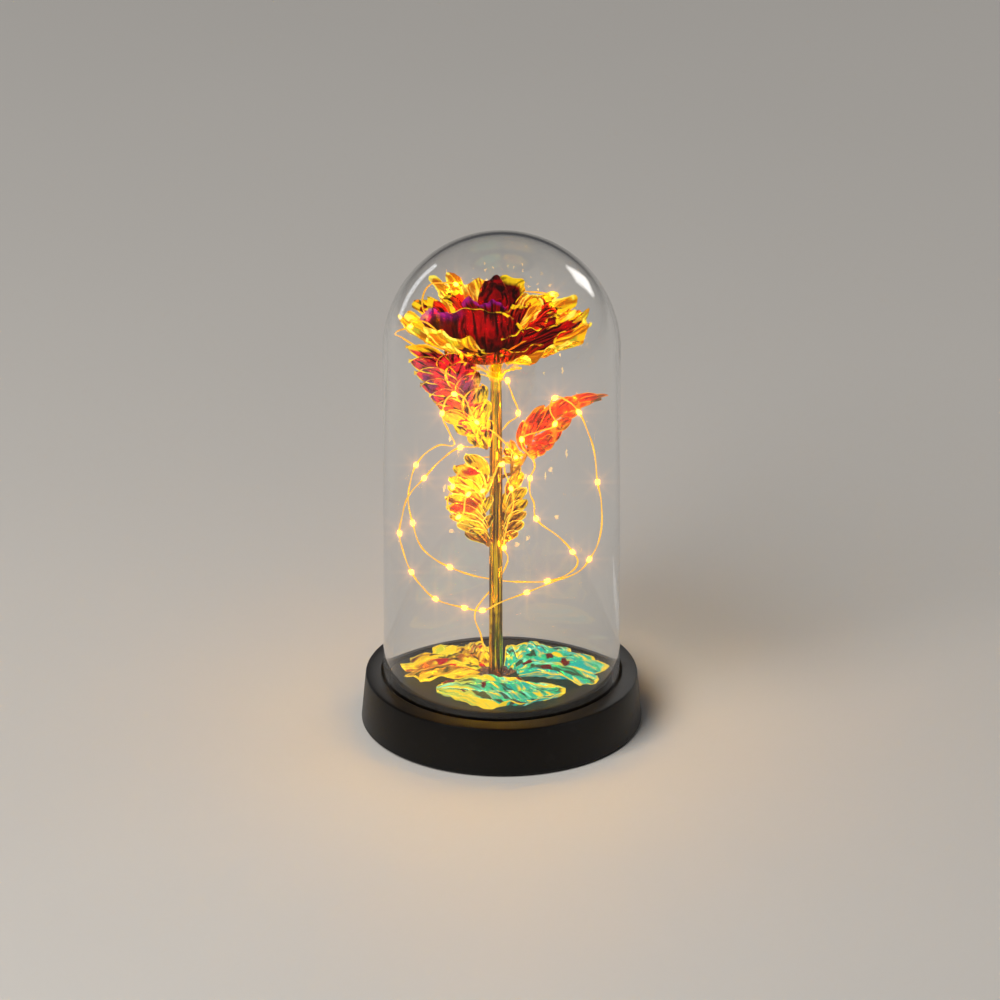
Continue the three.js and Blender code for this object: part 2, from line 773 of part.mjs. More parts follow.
addMesh(part, 'base_housing', baseHousing(), materials.blackPlastic);
addMesh(part, 'bottom_plate', bottomPlate(), materials.blackPlastic);
addMesh(part, 'battery_door', batteryDoor(), materials.blackPlastic);
padCentres().forEach(([x, y], k) => {
  const pad = rod(PAD_RADIUS, 0, BASE_FOOT + PAD_SUNK - GAP, PAD_SIDES, x, y);
  addMesh(part, `foot_pad_${k + 1}`, pad, materials.blackRubber);
});
addMesh(part, 'glass_dome', glassDome(), materials.glass);
addMesh(rose, 'stem', stem(), materials.goldFoil);
addMesh(rose, 'stem_collar', collar(), materials.collarFilm);
addMesh(rose, 'calyx', calyx(), materials.goldFoil);
for (const row of [outerRow, secondRow, cupRow, innerRow, budRow]) petals(row);
addMesh(rose, 'bud_heart', heart(), materials.redFoil);
for (const [name, shape] of Object.entries(leaves)) {
  addMesh(part, name, leaf(shape), materials.redGoldFoil);
}
for (const [name, shape] of Object.entries(fallen)) {
  const material = name === 'fallen_petal_left' ? materials.amberFoil : materials.tealFoil;
  addMesh(part, name, fallenPetal(shape), material);
}
addMesh(part, 'light_string', lightString(), materials.lights);

export default part;
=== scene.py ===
import math

import bpy
from mathutils import Matrix, Vector, noise


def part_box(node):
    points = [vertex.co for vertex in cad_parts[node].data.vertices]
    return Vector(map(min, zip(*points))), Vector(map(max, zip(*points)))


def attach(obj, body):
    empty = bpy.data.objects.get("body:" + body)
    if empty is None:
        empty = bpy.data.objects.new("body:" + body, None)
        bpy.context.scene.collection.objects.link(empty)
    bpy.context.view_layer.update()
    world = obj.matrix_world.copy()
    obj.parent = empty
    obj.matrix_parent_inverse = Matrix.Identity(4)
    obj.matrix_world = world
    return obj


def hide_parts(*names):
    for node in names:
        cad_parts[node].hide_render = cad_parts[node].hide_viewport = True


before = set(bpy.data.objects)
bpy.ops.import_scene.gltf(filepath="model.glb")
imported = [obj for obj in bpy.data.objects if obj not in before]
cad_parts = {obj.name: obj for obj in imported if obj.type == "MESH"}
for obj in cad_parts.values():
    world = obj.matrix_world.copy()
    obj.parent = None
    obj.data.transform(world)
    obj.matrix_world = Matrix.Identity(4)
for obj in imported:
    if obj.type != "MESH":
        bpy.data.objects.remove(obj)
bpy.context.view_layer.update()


# Base: one moulded shell of satin black plastic, turned smooth all round. Its rim rises a little towards the
# groove in which the dome stands, and a raised plinth fills the middle. The stem and the wire go down through
# a hole each.
BASE_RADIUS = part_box("base_housing")[1].x
BASE_FOOT = 0.0008
BASE_TOP_RADIUS = 0.0581
BASE_WALL = 0.0026
RIM_HEIGHT = 0.0218
RIM_RISE = 0.001
GROOVE_OUTER_RADIUS = 0.0513
GROOVE_FLOOR = 0.018
GROOVE_WALL = 0.0018
PLINTH_RADIUS = 0.0448
PLINTH_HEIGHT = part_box("base_housing")[1].z
BASE_FACETS = 180
EDGE_WIDTH = 0.0007
AXIS_RADIUS = 1e-6
STEM_X = -0.0024
SOCKET_RADIUS = 0.0031
WIRE_HOLE = (-0.009, 0.009)
WIRE_HOLE_RADIUS = 0.0016
HOLE_FACETS = 32
DRILL_PAST = 0.001


def turned(name, outline, facets, x=0.0):
    """A ring extruded and scaled along (radius, height) pairs, as on a lathe whose axis stands at x."""
    radius, height = max(outline[0][0], AXIS_RADIUS), outline[0][1]
    bpy.ops.mesh.primitive_circle_add(vertices=facets, radius=radius, location=(x, 0, height))
    piece = bpy.context.object
    piece.name = name
    bpy.ops.object.transform_apply(location=True, rotation=True, scale=True)
    bpy.ops.object.mode_set(mode="EDIT")
    for next_radius, next_height in outline[1:]:
        next_radius = max(next_radius, AXIS_RADIUS)
        step = (0, 0, next_height - height)
        grow = next_radius / radius
        bpy.ops.mesh.extrude_region_move(TRANSFORM_OT_translate={"value": step})
        bpy.ops.transform.resize(value=(grow, grow, 1), center_override=(x, 0, next_height))
        radius, height = next_radius, next_height
    bpy.ops.mesh.select_all(action="SELECT")
    bpy.ops.mesh.remove_doubles(threshold=3 * AXIS_RADIUS)
    bpy.ops.mesh.normals_make_consistent(inside=False)
    bpy.ops.object.mode_set(mode="OBJECT")
    return piece


def picked(*pieces):
    """Selects these pieces alone and makes the first one active."""
    bpy.ops.object.select_all(action="DESELECT")
    for piece in pieces:
        piece.select_set(True)
    bpy.context.view_layer.objects.active = pieces[0]


def finished(piece, modifier, **settings):
    """Adds one modifier to the piece, sets it and applies it."""
    picked(piece)
    step = piece.modifiers.new(modifier.title(), modifier)
    for setting, value in settings.items():
        setattr(step, setting, value)
    bpy.ops.object.modifier_apply(modifier=step.name)


def drilled(piece, radius, x, y, low, high):
    """Cuts a round hole through the piece."""
    spot = (x, y, (low + high) / 2)
    bpy.ops.mesh.primitive_cylinder_add(vertices=HOLE_FACETS, radius=radius, depth=high - low, location=spot)
    drill = bpy.context.object
    finished(piece, "BOOLEAN", operation="DIFFERENCE", object=drill, solver="EXACT")
    bpy.data.objects.remove(drill)


def smoothed(piece, degrees):
    picked(piece)
    bpy.ops.object.shade_smooth_by_angle(angle=math.radians(degrees))


class Tone:
    """A value in a finish. Arithmetic on it adds the Math nodes that work it out."""

    def __init__(self, finish, socket):
        self.finish = finish
        self.socket = socket

    def __add__(self, other):
        return self.finish.maths("ADD", self, other)

    def __radd__(self, other):
        return self.finish.maths("ADD", other, self)

    def __sub__(self, other):
        return self.finish.maths("SUBTRACT", self, other)

    def __rsub__(self, other):
        return self.finish.maths("SUBTRACT", other, self)

    def __mul__(self, other):
        return self.finish.maths("MULTIPLY", self, other)

    def __rmul__(self, other):
        return self.finish.maths("MULTIPLY", other, self)

    def __pow__(self, other):
        return self.finish.maths("POWER", self, other)

    def __abs__(self):
        return self.finish.maths("ABSOLUTE", self, 0)


class Finish:
    """One material: a shader with fixed values, and the nodes that vary it over the surface."""

    def __init__(self, name, **fixed):
        self.material = bpy.data.materials.new(name)
        self.material.use_nodes = True
        self.tree = self.material.node_tree
        self.shader = self.tree.nodes["Principled BSDF"]
        for socket, value in fixed.items():
            self.shader.inputs[socket.replace("_", " ").title().replace("Ior", "IOR")].default_value = value

    def node(self, kind, settings=None, values=None, out=0):
        """Adds a node, sets it, then fills or links its sockets, and gives back one of its outputs."""
        node = self.tree.nodes.new(kind)
        for setting, value in (settings or {}).items():
            setattr(node, setting, value)
        for socket, value in (values or {}).items():
            if isinstance(value, Tone):
                self.tree.links.new(value.socket, node.inputs[socket])
            else:
                node.inputs[socket].default_value = value
        return Tone(self, node.outputs[out])

    def maths(self, operation, first, second):
        return self.node("ShaderNodeMath", {"operation": operation}, {0: first, 1: second})

    def between(self, tone, low, high):
        """0 below low, 1 above high and a soft step from one to the other."""
        values = {"Value": tone, "From Min": low, "From Max": high}
        return self.node("ShaderNodeMapRange", {"interpolation_type": "SMOOTHSTEP"}, values)

    def mixed(self, share, first, second):
        """The first color, or the second where share is 1."""
        return self.node("ShaderNodeMix", {"data_type": "RGBA"}, {0: share, 6: first, 7: second}, out=2)

    def place(self, kind="Object"):
        return self.node("ShaderNodeTexCoord", out=kind)

    def part(self, axis, where=None):
        """One coordinate of a place on the piece."""
        return self.node("ShaderNodeSeparateXYZ", {}, {0: where or self.place()}, axis)

    def scaled(self, where, scale):
        return self.node("ShaderNodeMapping", {}, {"Vector": where, "Scale": scale})

    def noise(self, scale, detail=2.0, roughness=0.5, distortion=0.0, where=None):
        values = {"Scale": scale, "Detail": detail, "Roughness": roughness, "Distortion": distortion}
        return self.node("ShaderNodeTexNoise", {}, {"Vector": where or self.place(), **values})

    def cells(self, scale, **settings):
        return self.node("ShaderNodeTexVoronoi", settings, {"Vector": self.place(), "Scale": scale})

    def feed(self, **tones):
        for socket, tone in tones.items():
            self.tree.links.new(tone.socket, self.shader.inputs[socket.replace("_", " ").title()])

    def raised(self, height, depth):
        """Small relief, depth metres where height is 1."""
        relief = {"Strength": 1.0, "Distance": depth, "Height": height}
        self.feed(normal=self.node("ShaderNodeBump", {}, relief))

    def on(self, piece):
        piece.data.materials.clear()
        piece.data.materials.append(self.material)


def color(red, green, blue):
    return (red, green, blue, 1.0)


BLACK = color(0.004, 0.0036, 0.0034)
DUST = color(0.03, 0.028, 0.026)

black_plastic = Finish("satin_black_plastic", specular_ior_level=0.2)
dust = black_plastic.between(black_plastic.noise(90, 6, 0.65), 0.56, 0.74)
specks = black_plastic.between(black_plastic.cells(900), 0.16, 0.06)
black_plastic.feed(base_color=black_plastic.mixed(dust * 0.25 + specks * 0.2, BLACK, DUST))
black_plastic.feed(roughness=0.36 + dust * 0.12 + black_plastic.noise(700, 2) * 0.06)
black_plastic.raised(black_plastic.noise(1500, 2), 0.000015)

base_roof = PLINTH_HEIGHT - BASE_WALL
drill_low, drill_high = base_roof - DRILL_PAST, PLINTH_HEIGHT + DRILL_PAST
base_outline = [
    (BASE_RADIUS - BASE_WALL, BASE_FOOT),
    (BASE_RADIUS, BASE_FOOT),
    (BASE_TOP_RADIUS, RIM_HEIGHT),
    (GROOVE_OUTER_RADIUS, RIM_HEIGHT + RIM_RISE),
    (GROOVE_OUTER_RADIUS, GROOVE_FLOOR),
    (PLINTH_RADIUS, GROOVE_FLOOR),
    (PLINTH_RADIUS, PLINTH_HEIGHT),
    (0, PLINTH_HEIGHT),
    (0, base_roof),
    (PLINTH_RADIUS - GROOVE_WALL, base_roof),
    (PLINTH_RADIUS - GROOVE_WALL, GROOVE_FLOOR - BASE_WALL),
    (BASE_TOP_RADIUS - BASE_WALL, GROOVE_FLOOR - BASE_WALL),
    (BASE_RADIUS - BASE_WALL, BASE_FOOT),
]
base = turned("base", base_outline, BASE_FACETS)
finished(base, "BEVEL", width=EDGE_WIDTH, segments=4, limit_method="ANGLE", angle_limit=math.radians(40))
drilled(base, SOCKET_RADIUS, STEM_X, 0, drill_low, drill_high)
drilled(base, WIRE_HOLE_RADIUS, *WIRE_HOLE, drill_low, drill_high)
smoothed(base, 35)
black_plastic.on(base)
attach(base, "root")
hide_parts("base_housing")


# Underside: a plate pressed into the open base, a battery door let into it, and four rubber pads on which the
# whole object stands. Plate and door are moulded in matt black plastic with a fine spark texture.
CHARCOAL = color(0.022, 0.021, 0.02)
SOOT = color(0.014, 0.014, 0.014)
WORN_RUBBER = color(0.03, 0.03, 0.029)
PAD_COUNT = 4
PAD_EDGE = 0.0003
PAD_FACETS = 48

matt_plastic = Finish("matt_black_plastic", specular_ior_level=0.4)
matt_plastic.feed(base_color=matt_plastic.mixed(matt_plastic.noise(160, 5, 0.6), BLACK, CHARCOAL))
matt_plastic.feed(roughness=0.5 + matt_plastic.noise(1200, 2) * 0.2)
matt_plastic.raised(matt_plastic.cells(2200), 0.00003)
for node in ("bottom_plate", "battery_door"):
    matt_plastic.on(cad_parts[node])

rubber = Finish("black_rubber", specular_ior_level=0.3)
rubber.feed(base_color=rubber.mixed(rubber.noise(300, 4), SOOT, WORN_RUBBER))
rubber.feed(roughness=0.7 + rubber.noise(900, 2) * 0.2)
rubber.raised(rubber.noise(1800, 3), 0.00004)
for k in range(PAD_COUNT):
    low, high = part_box(f"foot_pad_{k + 1}")
    size = {"radius": (high.x - low.x) / 2, "depth": high.z - low.z}
    bpy.ops.mesh.primitive_cylinder_add(vertices=PAD_FACETS, **size, location=(low + high) / 2)
    pad = bpy.context.object
    pad.name = f"rubber_pad_{k + 1}"
    bpy.ops.object.transform_apply(location=True, rotation=True, scale=True)
    finished(pad, "BEVEL", width=PAD_EDGE, segments=3, limit_method="ANGLE")
    smoothed(pad, 35)
    rubber.on(pad)
    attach(pad, "root")
    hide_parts(f"foot_pad_{k + 1}")


# Stem: a straight rod wrapped in gold foil, pushed into its socket in the plinth. It narrows a little under
# the flower, whose petals are fixed to it by their roots.
STEM_RADIUS = 0.0028
STEM_NECK_RADIUS = 0.0024
STEM_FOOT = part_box("stem")[0].z
STEM_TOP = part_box("stem")[1].z
STEM_HEIGHTS = (0.084, 0.126, 0.158)
STEM_FACETS = 64
STEM_EDGE = 0.0004
BRIGHT_NECK = 0.154

GOLD = color(1.0, 0.66, 0.01)
PALE_GOLD = color(1.0, 0.84, 0.1)
ORANGE = color(0.9, 0.24, 0.01)
OLIVE = color(0.1, 0.05, 0.004)

stem_outline = [
    (0, STEM_FOOT),
    (STEM_RADIUS, STEM_FOOT),
    (STEM_RADIUS, STEM_HEIGHTS[0]),
    (STEM_RADIUS * 0.98, STEM_HEIGHTS[1]),
    (STEM_NECK_RADIUS, STEM_HEIGHTS[2]),
    (STEM_NECK_RADIUS, STEM_TOP),
    (0, STEM_TOP),
]
stem = turned("stem_rod", stem_outline, STEM_FACETS, STEM_X)
finished(stem, "BEVEL", width=STEM_EDGE, segments=3, limit_method="ANGLE", angle_limit=math.radians(50))
smoothed(stem, 40)
stem_gold = Finish("stem_gold_foil", metallic=1.0)
# Painted reflection: dark olive streaks down the gold stand in for dark reflections, and stop short of the
# neck.
streaks = stem_gold.noise(900, 3, 0.6, where=stem_gold.scaled(stem_gold.place(), (1, 1, 0.035)))
bare_neck = stem_gold.between(stem_gold.part("Z"), BRIGHT_NECK, BRIGHT_NECK + 0.002)
dark_reflection_streaks = stem_gold.between(streaks, 0.4, 0.55) * (1 - bare_neck)
stem_gold.feed(base_color=stem_gold.mixed(dark_reflection_streaks, GOLD, OLIVE))
stem_gold.feed(roughness=0.12 + streaks * 0.2)
winding = {"Vector": stem_gold.place(), "Scale": 60, "Distortion": 2.5}
wound = stem_gold.node("ShaderNodeTexWave", {"bands_direction": "Z"}, winding)
stem_gold.raised(wound + streaks * 0.6, 0.00006)
stem_gold.on(stem)
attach(stem, "root")
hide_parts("stem")


# Collar: a small star of thin brownish film round the foot of the stem, which hides the socket. It is cut
# from one sheet, crumpled a little and slipped over the rod.
COLLAR_POINTS = 5
COLLAR_INNER = 0.0031
COLLAR_NOTCH = 0.0054
COLLAR_TIP = 0.0082
COLLAR_LOW = PLINTH_HEIGHT + 0.0009
COLLAR_GRID = (14, 120)
COLLAR_CRUMPLE = 0.0008
FILM = 0.00018
MAROON = color(0.16, 0.05, 0.07)
TAN = color(0.42, 0.25, 0.2)


def pressed(name, along, across, surface, thickness, closed=False):
    """A flat foil cut on a fine grid and pressed so that surface(u, v) gives the place of each of its points.

    u runs from 0 to 1 along the foil and v from -1 to 1 across it.
    """
    bpy.ops.mesh.primitive_grid_add(x_subdivisions=across, y_subdivisions=along, size=2)
    foil = bpy.context.object
    foil.name = name
    for vertex in foil.data.vertices:
        vertex.co = surface((vertex.co.y + 1) / 2, vertex.co.x)
    if closed:
        bpy.ops.object.mode_set(mode="EDIT")
        bpy.ops.mesh.select_all(action="SELECT")
        bpy.ops.mesh.remove_doubles(threshold=1e-6)
        bpy.ops.object.mode_set(mode="OBJECT")
    finished(foil, "SOLIDIFY", thickness=thickness, offset=0)
    smoothed(foil, 50)
    return foil


def creased(place, size):
    """Crumpled foil: flat facets of about that size between sharp creases, from 0 to 1."""
    spot = Vector(place) / size
    return noise.noise(spot, noise_basis="VORONOI_F2F1") * 0.6 + noise.turbulence(spot * 1.9, 2, True) * 0.4


def collar_surface(u, v):
    turn = math.pi * v
    point = abs(math.cos(COLLAR_POINTS * turn / 2)) ** 0.7
    reach = COLLAR_NOTCH + (COLLAR_TIP - COLLAR_NOTCH) * point
    radius = COLLAR_INNER + u * (reach - COLLAR_INNER)
    crumple = COLLAR_CRUMPLE * creased((radius, turn / 60, 0), 0.002) * u
    lift = u * (0.0042 - 0.003 * u) + 0.0008 * point * u + crumple
    return (STEM_X + radius * math.cos(turn), radius * math.sin(turn), COLLAR_LOW + lift)


collar = pressed("film_collar", *COLLAR_GRID, collar_surface, FILM, closed=True)
brown_film = Finish("brown_film", metallic=0.55, roughness=0.22, coat_weight=0.4)
patches = brown_film.between(brown_film.noise(420, 3), 0.4, 0.62)
brown_film.feed(base_color=brown_film.mixed(patches, MAROON, TAN), alpha=0.7 + patches * 0.25)
brown_film.raised(brown_film.noise(1400, 3, 0.6), 0.0001)
brown_film.on(collar)
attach(collar, "root")
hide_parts("stem_collar")


# Calyx: gold film, partly clear, drawn up from the neck of the stem like a trumpet and slit into six pointed
# sepals that carry the flower.
SEPALS = 6
CALYX_INNER = 0.0029
CALYX_NOTCH = 0.008
CALYX_TIP = 0.0195
CALYX_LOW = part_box("calyx")[0].z
CALYX_RISE = 0.0122
CALYX_RIBS = 30
CALYX_RIB = 0.00022
CALYX_CRUMPLE = 0.0012
CALYX_GRID = (30, 240)


def calyx_surface(u, v):
    turn = math.pi * v
    sepal = (0.5 + 0.5 * math.cos(SEPALS * turn)) ** 1.2
    ragged = 1 + 0.06 * noise.noise((6 * math.cos(turn), 6 * math.sin(turn), 2))
    reach = (CALYX_NOTCH + (CALYX_TIP - CALYX_NOTCH) * sepal) * ragged
    radius = CALYX_INNER + (reach - CALYX_INNER) * u**1.8
    radius += CALYX_RIB * math.cos(CALYX_RIBS * turn) * math.sin(math.pi * min(1, u * 1.2)) ** 0.5
    share = max(0, radius - CALYX_INNER) / (CALYX_TIP - CALYX_INNER)
    crumple = CALYX_CRUMPLE * creased((radius, turn / 60, u / 300), 0.003) * u
    height = CALYX_LOW + CALYX_RISE * share**0.55 - crumple
    return (STEM_X + radius * math.cos(turn), radius * math.sin(turn), height)


calyx = pressed("calyx_film", *CALYX_GRID, calyx_surface, FILM, closed=True)
# The film's emission is a painted glow, standing in for the lights' glow on the gold.
gold_film = Finish("clear_gold_film", metallic=0.8, coat_weight=0.1, coat_roughness=0.08,
                   emission_strength=0.7)
veined = gold_film.noise(380, 4, 0.65, 0.6)
film_paint = gold_film.mixed(gold_film.between(veined, 0.5, 0.66), GOLD, ORANGE)
gold_film.feed(base_color=film_paint, emission_color=film_paint)
film_round = gold_film.part("X", gold_film.place("UV"))
film_out = gold_film.part("Y", gold_film.place("UV"))
# Painted highlights: opaque lines at the middle of each sepal and at each notch, which glow with the film as
# if caught edge on.
rib_highlight_lines = gold_film.between(gold_film.maths("PINGPONG", film_round * (2 * SEPALS), 0.5), 0.05, 0.02)
film_neck = gold_film.between(film_out + (veined - 0.5) * 1.2, 0.36, 0.2)
film_rim = gold_film.between(film_out, 0.91, 0.95)
streaky = gold_film.between(veined, 0.56, 0.64) * 0.25 + film_rim * 0.8 + film_neck * 0.7 + rib_highlight_lines * 0.8
gold_film.feed(roughness=0.14 + veined * 0.2, alpha=0.03 + streaky)
gold_film.raised(gold_film.noise(900, 4, 0.6), 0.00025)
gold_film.on(calyx)
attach(calyx, "root")
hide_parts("calyx")


# Petals: five rows of stamped foil, each petal fixed by its root to the neck of the stem and tucked under its
# The rim of a petal is pinked into small teeth and curled out, and the foil is embossed with folds that fan
# out from the root. Gold foil is printed over with red lacquer and carries green patches. The purple on the
# rolled lips is a painted sheen, the pale gold patches are painted highlights, and the foils carry a painted
# glow and painted shade in their fold valleys.
PETAL_FOIL = 0.00022
PETAL_GRID = (44, 84)
BLUNT = 0.16
ROOT_SPREAD = 15
TUCK_START = 2.0


def spine_point(root, knee, tip, share):
    point = root * (1 - share) ** 2 + knee * 2 * (1 - share) * share + tip * share**2
    way = (knee - root) * (1 - share) + (tip - knee) * share
    return point, way.normalized()


def petal_surface(shape):
    """Where the foil of one petal goes: up its spine, round its bearing, then off by folds and curl."""
    root, knee, tip = Vector(shape["root"]), Vector(shape["knee"]), Vector(shape["tip"])
    curl_start = shape.get("curl_start", 0.72)
    bearing = shape["bearing"]
    rest, rest_way = spine_point(root, knee, tip, curl_start)
    curl_length = (tip - rest).length
    seed = Vector((0.37 * bearing, 0.11 * bearing, shape["tip"][1] * 1000))

    def surface(u, v):
        jag = shape["jag"] * noise.noise(seed + Vector((v * 2.6, 0, 0))) * u**2
        tooth = shape["tooth"] * abs((v * shape["teeth"]) % 2 - 1) * u**9
        rounded = u * (1 - BLUNT * v**4 * u) * (1 + shape["lobes"] * math.cos(2.5 * math.pi * v) * u * u)
        rounded *= (1 + jag - tooth) * (1 - shape["round"] * v * v)
        if rounded <= curl_start:
            at, way = spine_point(root, knee, tip, rounded)
        else:
            curl = math.radians(shape["curl"] * max(0.05, 1 + shape["curl_side"] * v))
            share = (rounded - curl_start) / (1 - curl_start)
            bow = curl_length / curl
            sin, cos = math.sin(curl * share), math.cos(curl * share)
            at = rest + rest_way * (bow * sin) + Vector((rest_way.y, -rest_way.x)) * (bow * (1 - cos))
            way = Vector((rest_way.x * cos + rest_way.y * sin, rest_way.y * cos - rest_way.x * sin))
        wide = math.sin(math.pi / 2 * min(1, u / 0.75)) * (1 - 0.48 * max(0, u - 0.75))
        spread = ROOT_SPREAD + (shape["spread"] - ROOT_SPREAD) * wide
        folds = math.cos(math.pi * shape["folds"] * v + bearing) * shape["fold"] * u * (1.2 - 0.5 * u)
        ruffle = math.sin(2.3 * math.pi * v + bearing) * shape["ruffle"] * u**3
        turn = math.radians(bearing + v * spread)
        flat = Vector((at.x * math.cos(turn), at.x * math.sin(turn), at.y))
        crumple = (creased(flat + seed * 0.01, shape["crease"]) - 0.3) * shape["crumple"] * u**0.5
        aside = shape["tuck"] * v * min(1, TUCK_START * u) + folds + ruffle + crumple
        radius = at.x - way.y * aside + shape["flare"] * max(0, -v) ** 2 * u**2
        height = at.y + way.x * aside
        return (STEM_X + radius * math.cos(turn), radius * math.sin(turn), height)

    return surface


RED = color(0.46, 0.001, 0.003)
DARK_RED = color(0.12, 0.001, 0.002)
NEAR_BLACK = color(0.02, 0.001, 0.001)
NIGHT = color(0, 0, 0)
SCARLET = color(0.9, 0.04, 0.006)
PURPLE = color(0.3, 0.01, 0.26)
GREEN = color(0.34, 0.45, 0.03)
# Painted shade colors for the fold valleys of the gold foils.
GOLD_FOIL_SHADE = color(0.5, 0.12, 0.004)
GREEN_GOLD_SHADE = color(0.4, 0.14, 0.005)


class FoilFinish(Finish):
    """A finish that follows its foil: across runs from edge to edge, along from its root to its tip."""

    def __init__(self, name, **fixed):
        super().__init__(name, **fixed)
        self.across = self.part("X", self.place("UV"))
        self.along = self.part("Y", self.place("UV"))
        self.side = abs(self.across * 2 - 1)

    def fan(self, across, along, shift):
        """The foil laid flat and drawn out to its tip, then shifted by its place, so no two are alike."""
        drawn_out = self.scaled(self.place("UV"), (across, along, 1))
        shifted = self.scaled(self.place(), (shift, shift, shift))
        return self.node("ShaderNodeVectorMath", {"operation": "ADD"}, {0: drawn_out, 1: shifted})

    def polished(self, grain, depth):
        """Mirror-bright with duller patches, and relief as deep as grain and depth say."""
        self.feed(roughness=0.08 + self.between(self.noise(200, 2), 0.4, 0.7) * 0.16)
        self.raised(grain, depth)


def foil_finish(name, heart, outer, rim, rim_width, patch_color, patch_share, painted_shade, painted_glow, lip=None,
                lip_size=(0, 0), fans=17, reach=0.5):
    """Stamped foil: heart color at its root and outer color farther out, a rim bare in stretches, and patches
    of a color of their own, which on gold_foil are pale gold painted highlights. Painted shade darkens the
    valleys that fan out from the root. The emission is a painted glow standing in for the lights shining
    through the foil, bright on the ridges and the bare rim. A lip colors one end of the rim: a purple lip is
    a painted sheen, a gold lip is gilt."""
    fixed = {"metallic": 0.9, "coat_weight": 0.06, "coat_roughness": 0.04, "specular_tint": outer}
    finish = FoilFinish(name, emission_strength=1.0, **fixed)
    across, along = finish.across, finish.along
    valleys = finish.noise(1, 3, 0.55, 0.4, where=finish.fan(fans, 2.2, 50))
    wander = finish.noise(120, 3, 0.5) - 0.5
    corner = finish.side**4 * 0.14 + along
    paint = finish.mixed(finish.between(along + wander * 0.7, reach - 0.25, reach), heart, outer)
    least = 0.66 - patch_share * 0.3
    blot = finish.between(finish.noise(60, 2, 0.5), least, 0.76 - patch_share * 0.3)
    paint = finish.mixed(blot * finish.between(along, 0.25, 0.6), paint, patch_color)
    # Painted shade: the shade color darkens the fold valleys.
    paint = finish.mixed(finish.between(valleys, 0.53, 0.38), paint, painted_shade)
    bare = finish.between(corner + wander * 0.06, 1 - rim_width, 1.015 - rim_width)
    bare *= finish.between(finish.noise(75, 2), 0.42, 0.48)
    # Painted glow: the emission lights the ridges and stretches of the bare rim, dark in the valleys.
    painted_valley_glow = finish.mixed(painted_glow, NIGHT, painted_shade)
    light = finish.mixed(finish.between(valleys, 0.44, 0.64) * painted_glow, painted_valley_glow, paint)
    light = finish.mixed(bare * finish.between(valleys, 0.4, 0.52) * 0.9, light, rim)
    paint = finish.mixed(bare, paint, rim)
    if lip:
        # A purple lip is a painted sheen, and it glows along the ridges with the rest of the foil.
        side_end = finish.between(across + wander * 0.2, lip_size[0] + 0.07, lip_size[0] - 0.07)
        rolled = side_end * finish.between(along + wander * 0.2, 0.94 - lip_size[1], 1.06 - lip_size[1])
        paint = finish.mixed(rolled, paint, lip)
        light = finish.mixed(rolled * (0.15 + finish.between(valleys, 0.42, 0.56) * 0.6), light, lip)
    finish.feed(base_color=paint, emission_color=light)
    finish.polished(valleys * 1.8 + finish.noise(260, 2, 0.5, 0.3) * 0.6, 0.0006)
    return finish


# On gold_foil the pale gold patches are painted highlights; the last colors are painted shade in the valleys.
gold_foil = foil_finish("gold_foil", ORANGE, GOLD, PALE_GOLD, 0.05, PALE_GOLD, 0.5, GOLD_FOIL_SHADE, 0.9)
green_gold_foil = foil_finish("green_gold_foil", ORANGE, GOLD, PALE_GOLD, 0.05, GREEN, 0.6, GREEN_GOLD_SHADE, 0.9)
red_gold_foil = foil_finish("red_and_gold_foil", RED, RED, GOLD, 0.09, SCARLET, 0.7, NEAR_BLACK, 0.5)
red_foil = foil_finish("red_foil", DARK_RED, RED, GOLD, 0.03, SCARLET, 0.15, NEAR_BLACK, 0.5)
# A darker copy of red_foil for the underside of the front outer petal: painted shade.
shaded_red_foil = foil_finish("painted_shade_red_foil", DARK_RED, RED, GOLD, 0.04, DARK_RED, 0.6, NEAR_BLACK, 0.2,
                        reach=0.95)
# The bowl's near-black heart is painted shade deep in the cup, and its purple lip is a painted sheen.
bowl_foil = foil_finish("bowl_foil", NEAR_BLACK, RED, GOLD, 0.02, DARK_RED, 0.6, NEAR_BLACK, 0.5,
                        PURPLE, (0.42, 0.1), reach=0.72)
# Its purple lip is a painted sheen.
purple_lip_foil = foil_finish("purple_lip_foil", DARK_RED, RED, RED, 0.02, SCARLET, 0.3, NEAR_BLACK, 0.3,
                              PURPLE, (0.9, 0.1))
gilt_lip_foil = foil_finish("gilt_lip_foil", DARK_RED, RED, GOLD, 0.02, RED, 0.3, NEAR_BLACK, 0.3,
                            GOLD, (1.1, 0.14), fans=6)
bud_foil = foil_finish("bud_foil", DARK_RED, RED, DARK_RED, 0.02, RED, 0.3, NEAR_BLACK, 0.4, fans=5)

# Places are (distance from the stem's axis, height). A row's first petal has the bearing that first gives.
outer_row = dict(
    node="outer_petal", count=8, first=-100, finish=gold_foil, slot="gold_foil",
    root=(0.0032, 0.169), knee=(0.020, 0.1765), tip=(0.0415, 0.186), spread=24, tuck=0.0009,
    lobes=0.06, round=0.0, flare=0.0, jag=0.1, teeth=24, tooth=0.008, curl=-22, curl_side=0.3,
    folds=5, fold=0.0009, ruffle=0.0012, crease=0.01, crumple=0.0007,
)
second_row = dict(
    outer_row, node="second_petal", count=7, first=-78, finish=red_gold_foil, slot="red_gold_foil",
    root=(0.0032, 0.1716), knee=(0.018, 0.1795), tip=(0.037, 0.1905), spread=27, curl=10,
)
cup_row = dict(
    outer_row, node="cup_petal", count=6, first=-112, finish=red_foil, slot="red_foil",
    root=(0.0032, 0.1752), knee=(0.019, 0.184), tip=(0.0275, 0.198), spread=36, tuck=0.0023,
    lobes=0.03, jag=0.05, folds=7, fold=0.0006, curl=45,
)
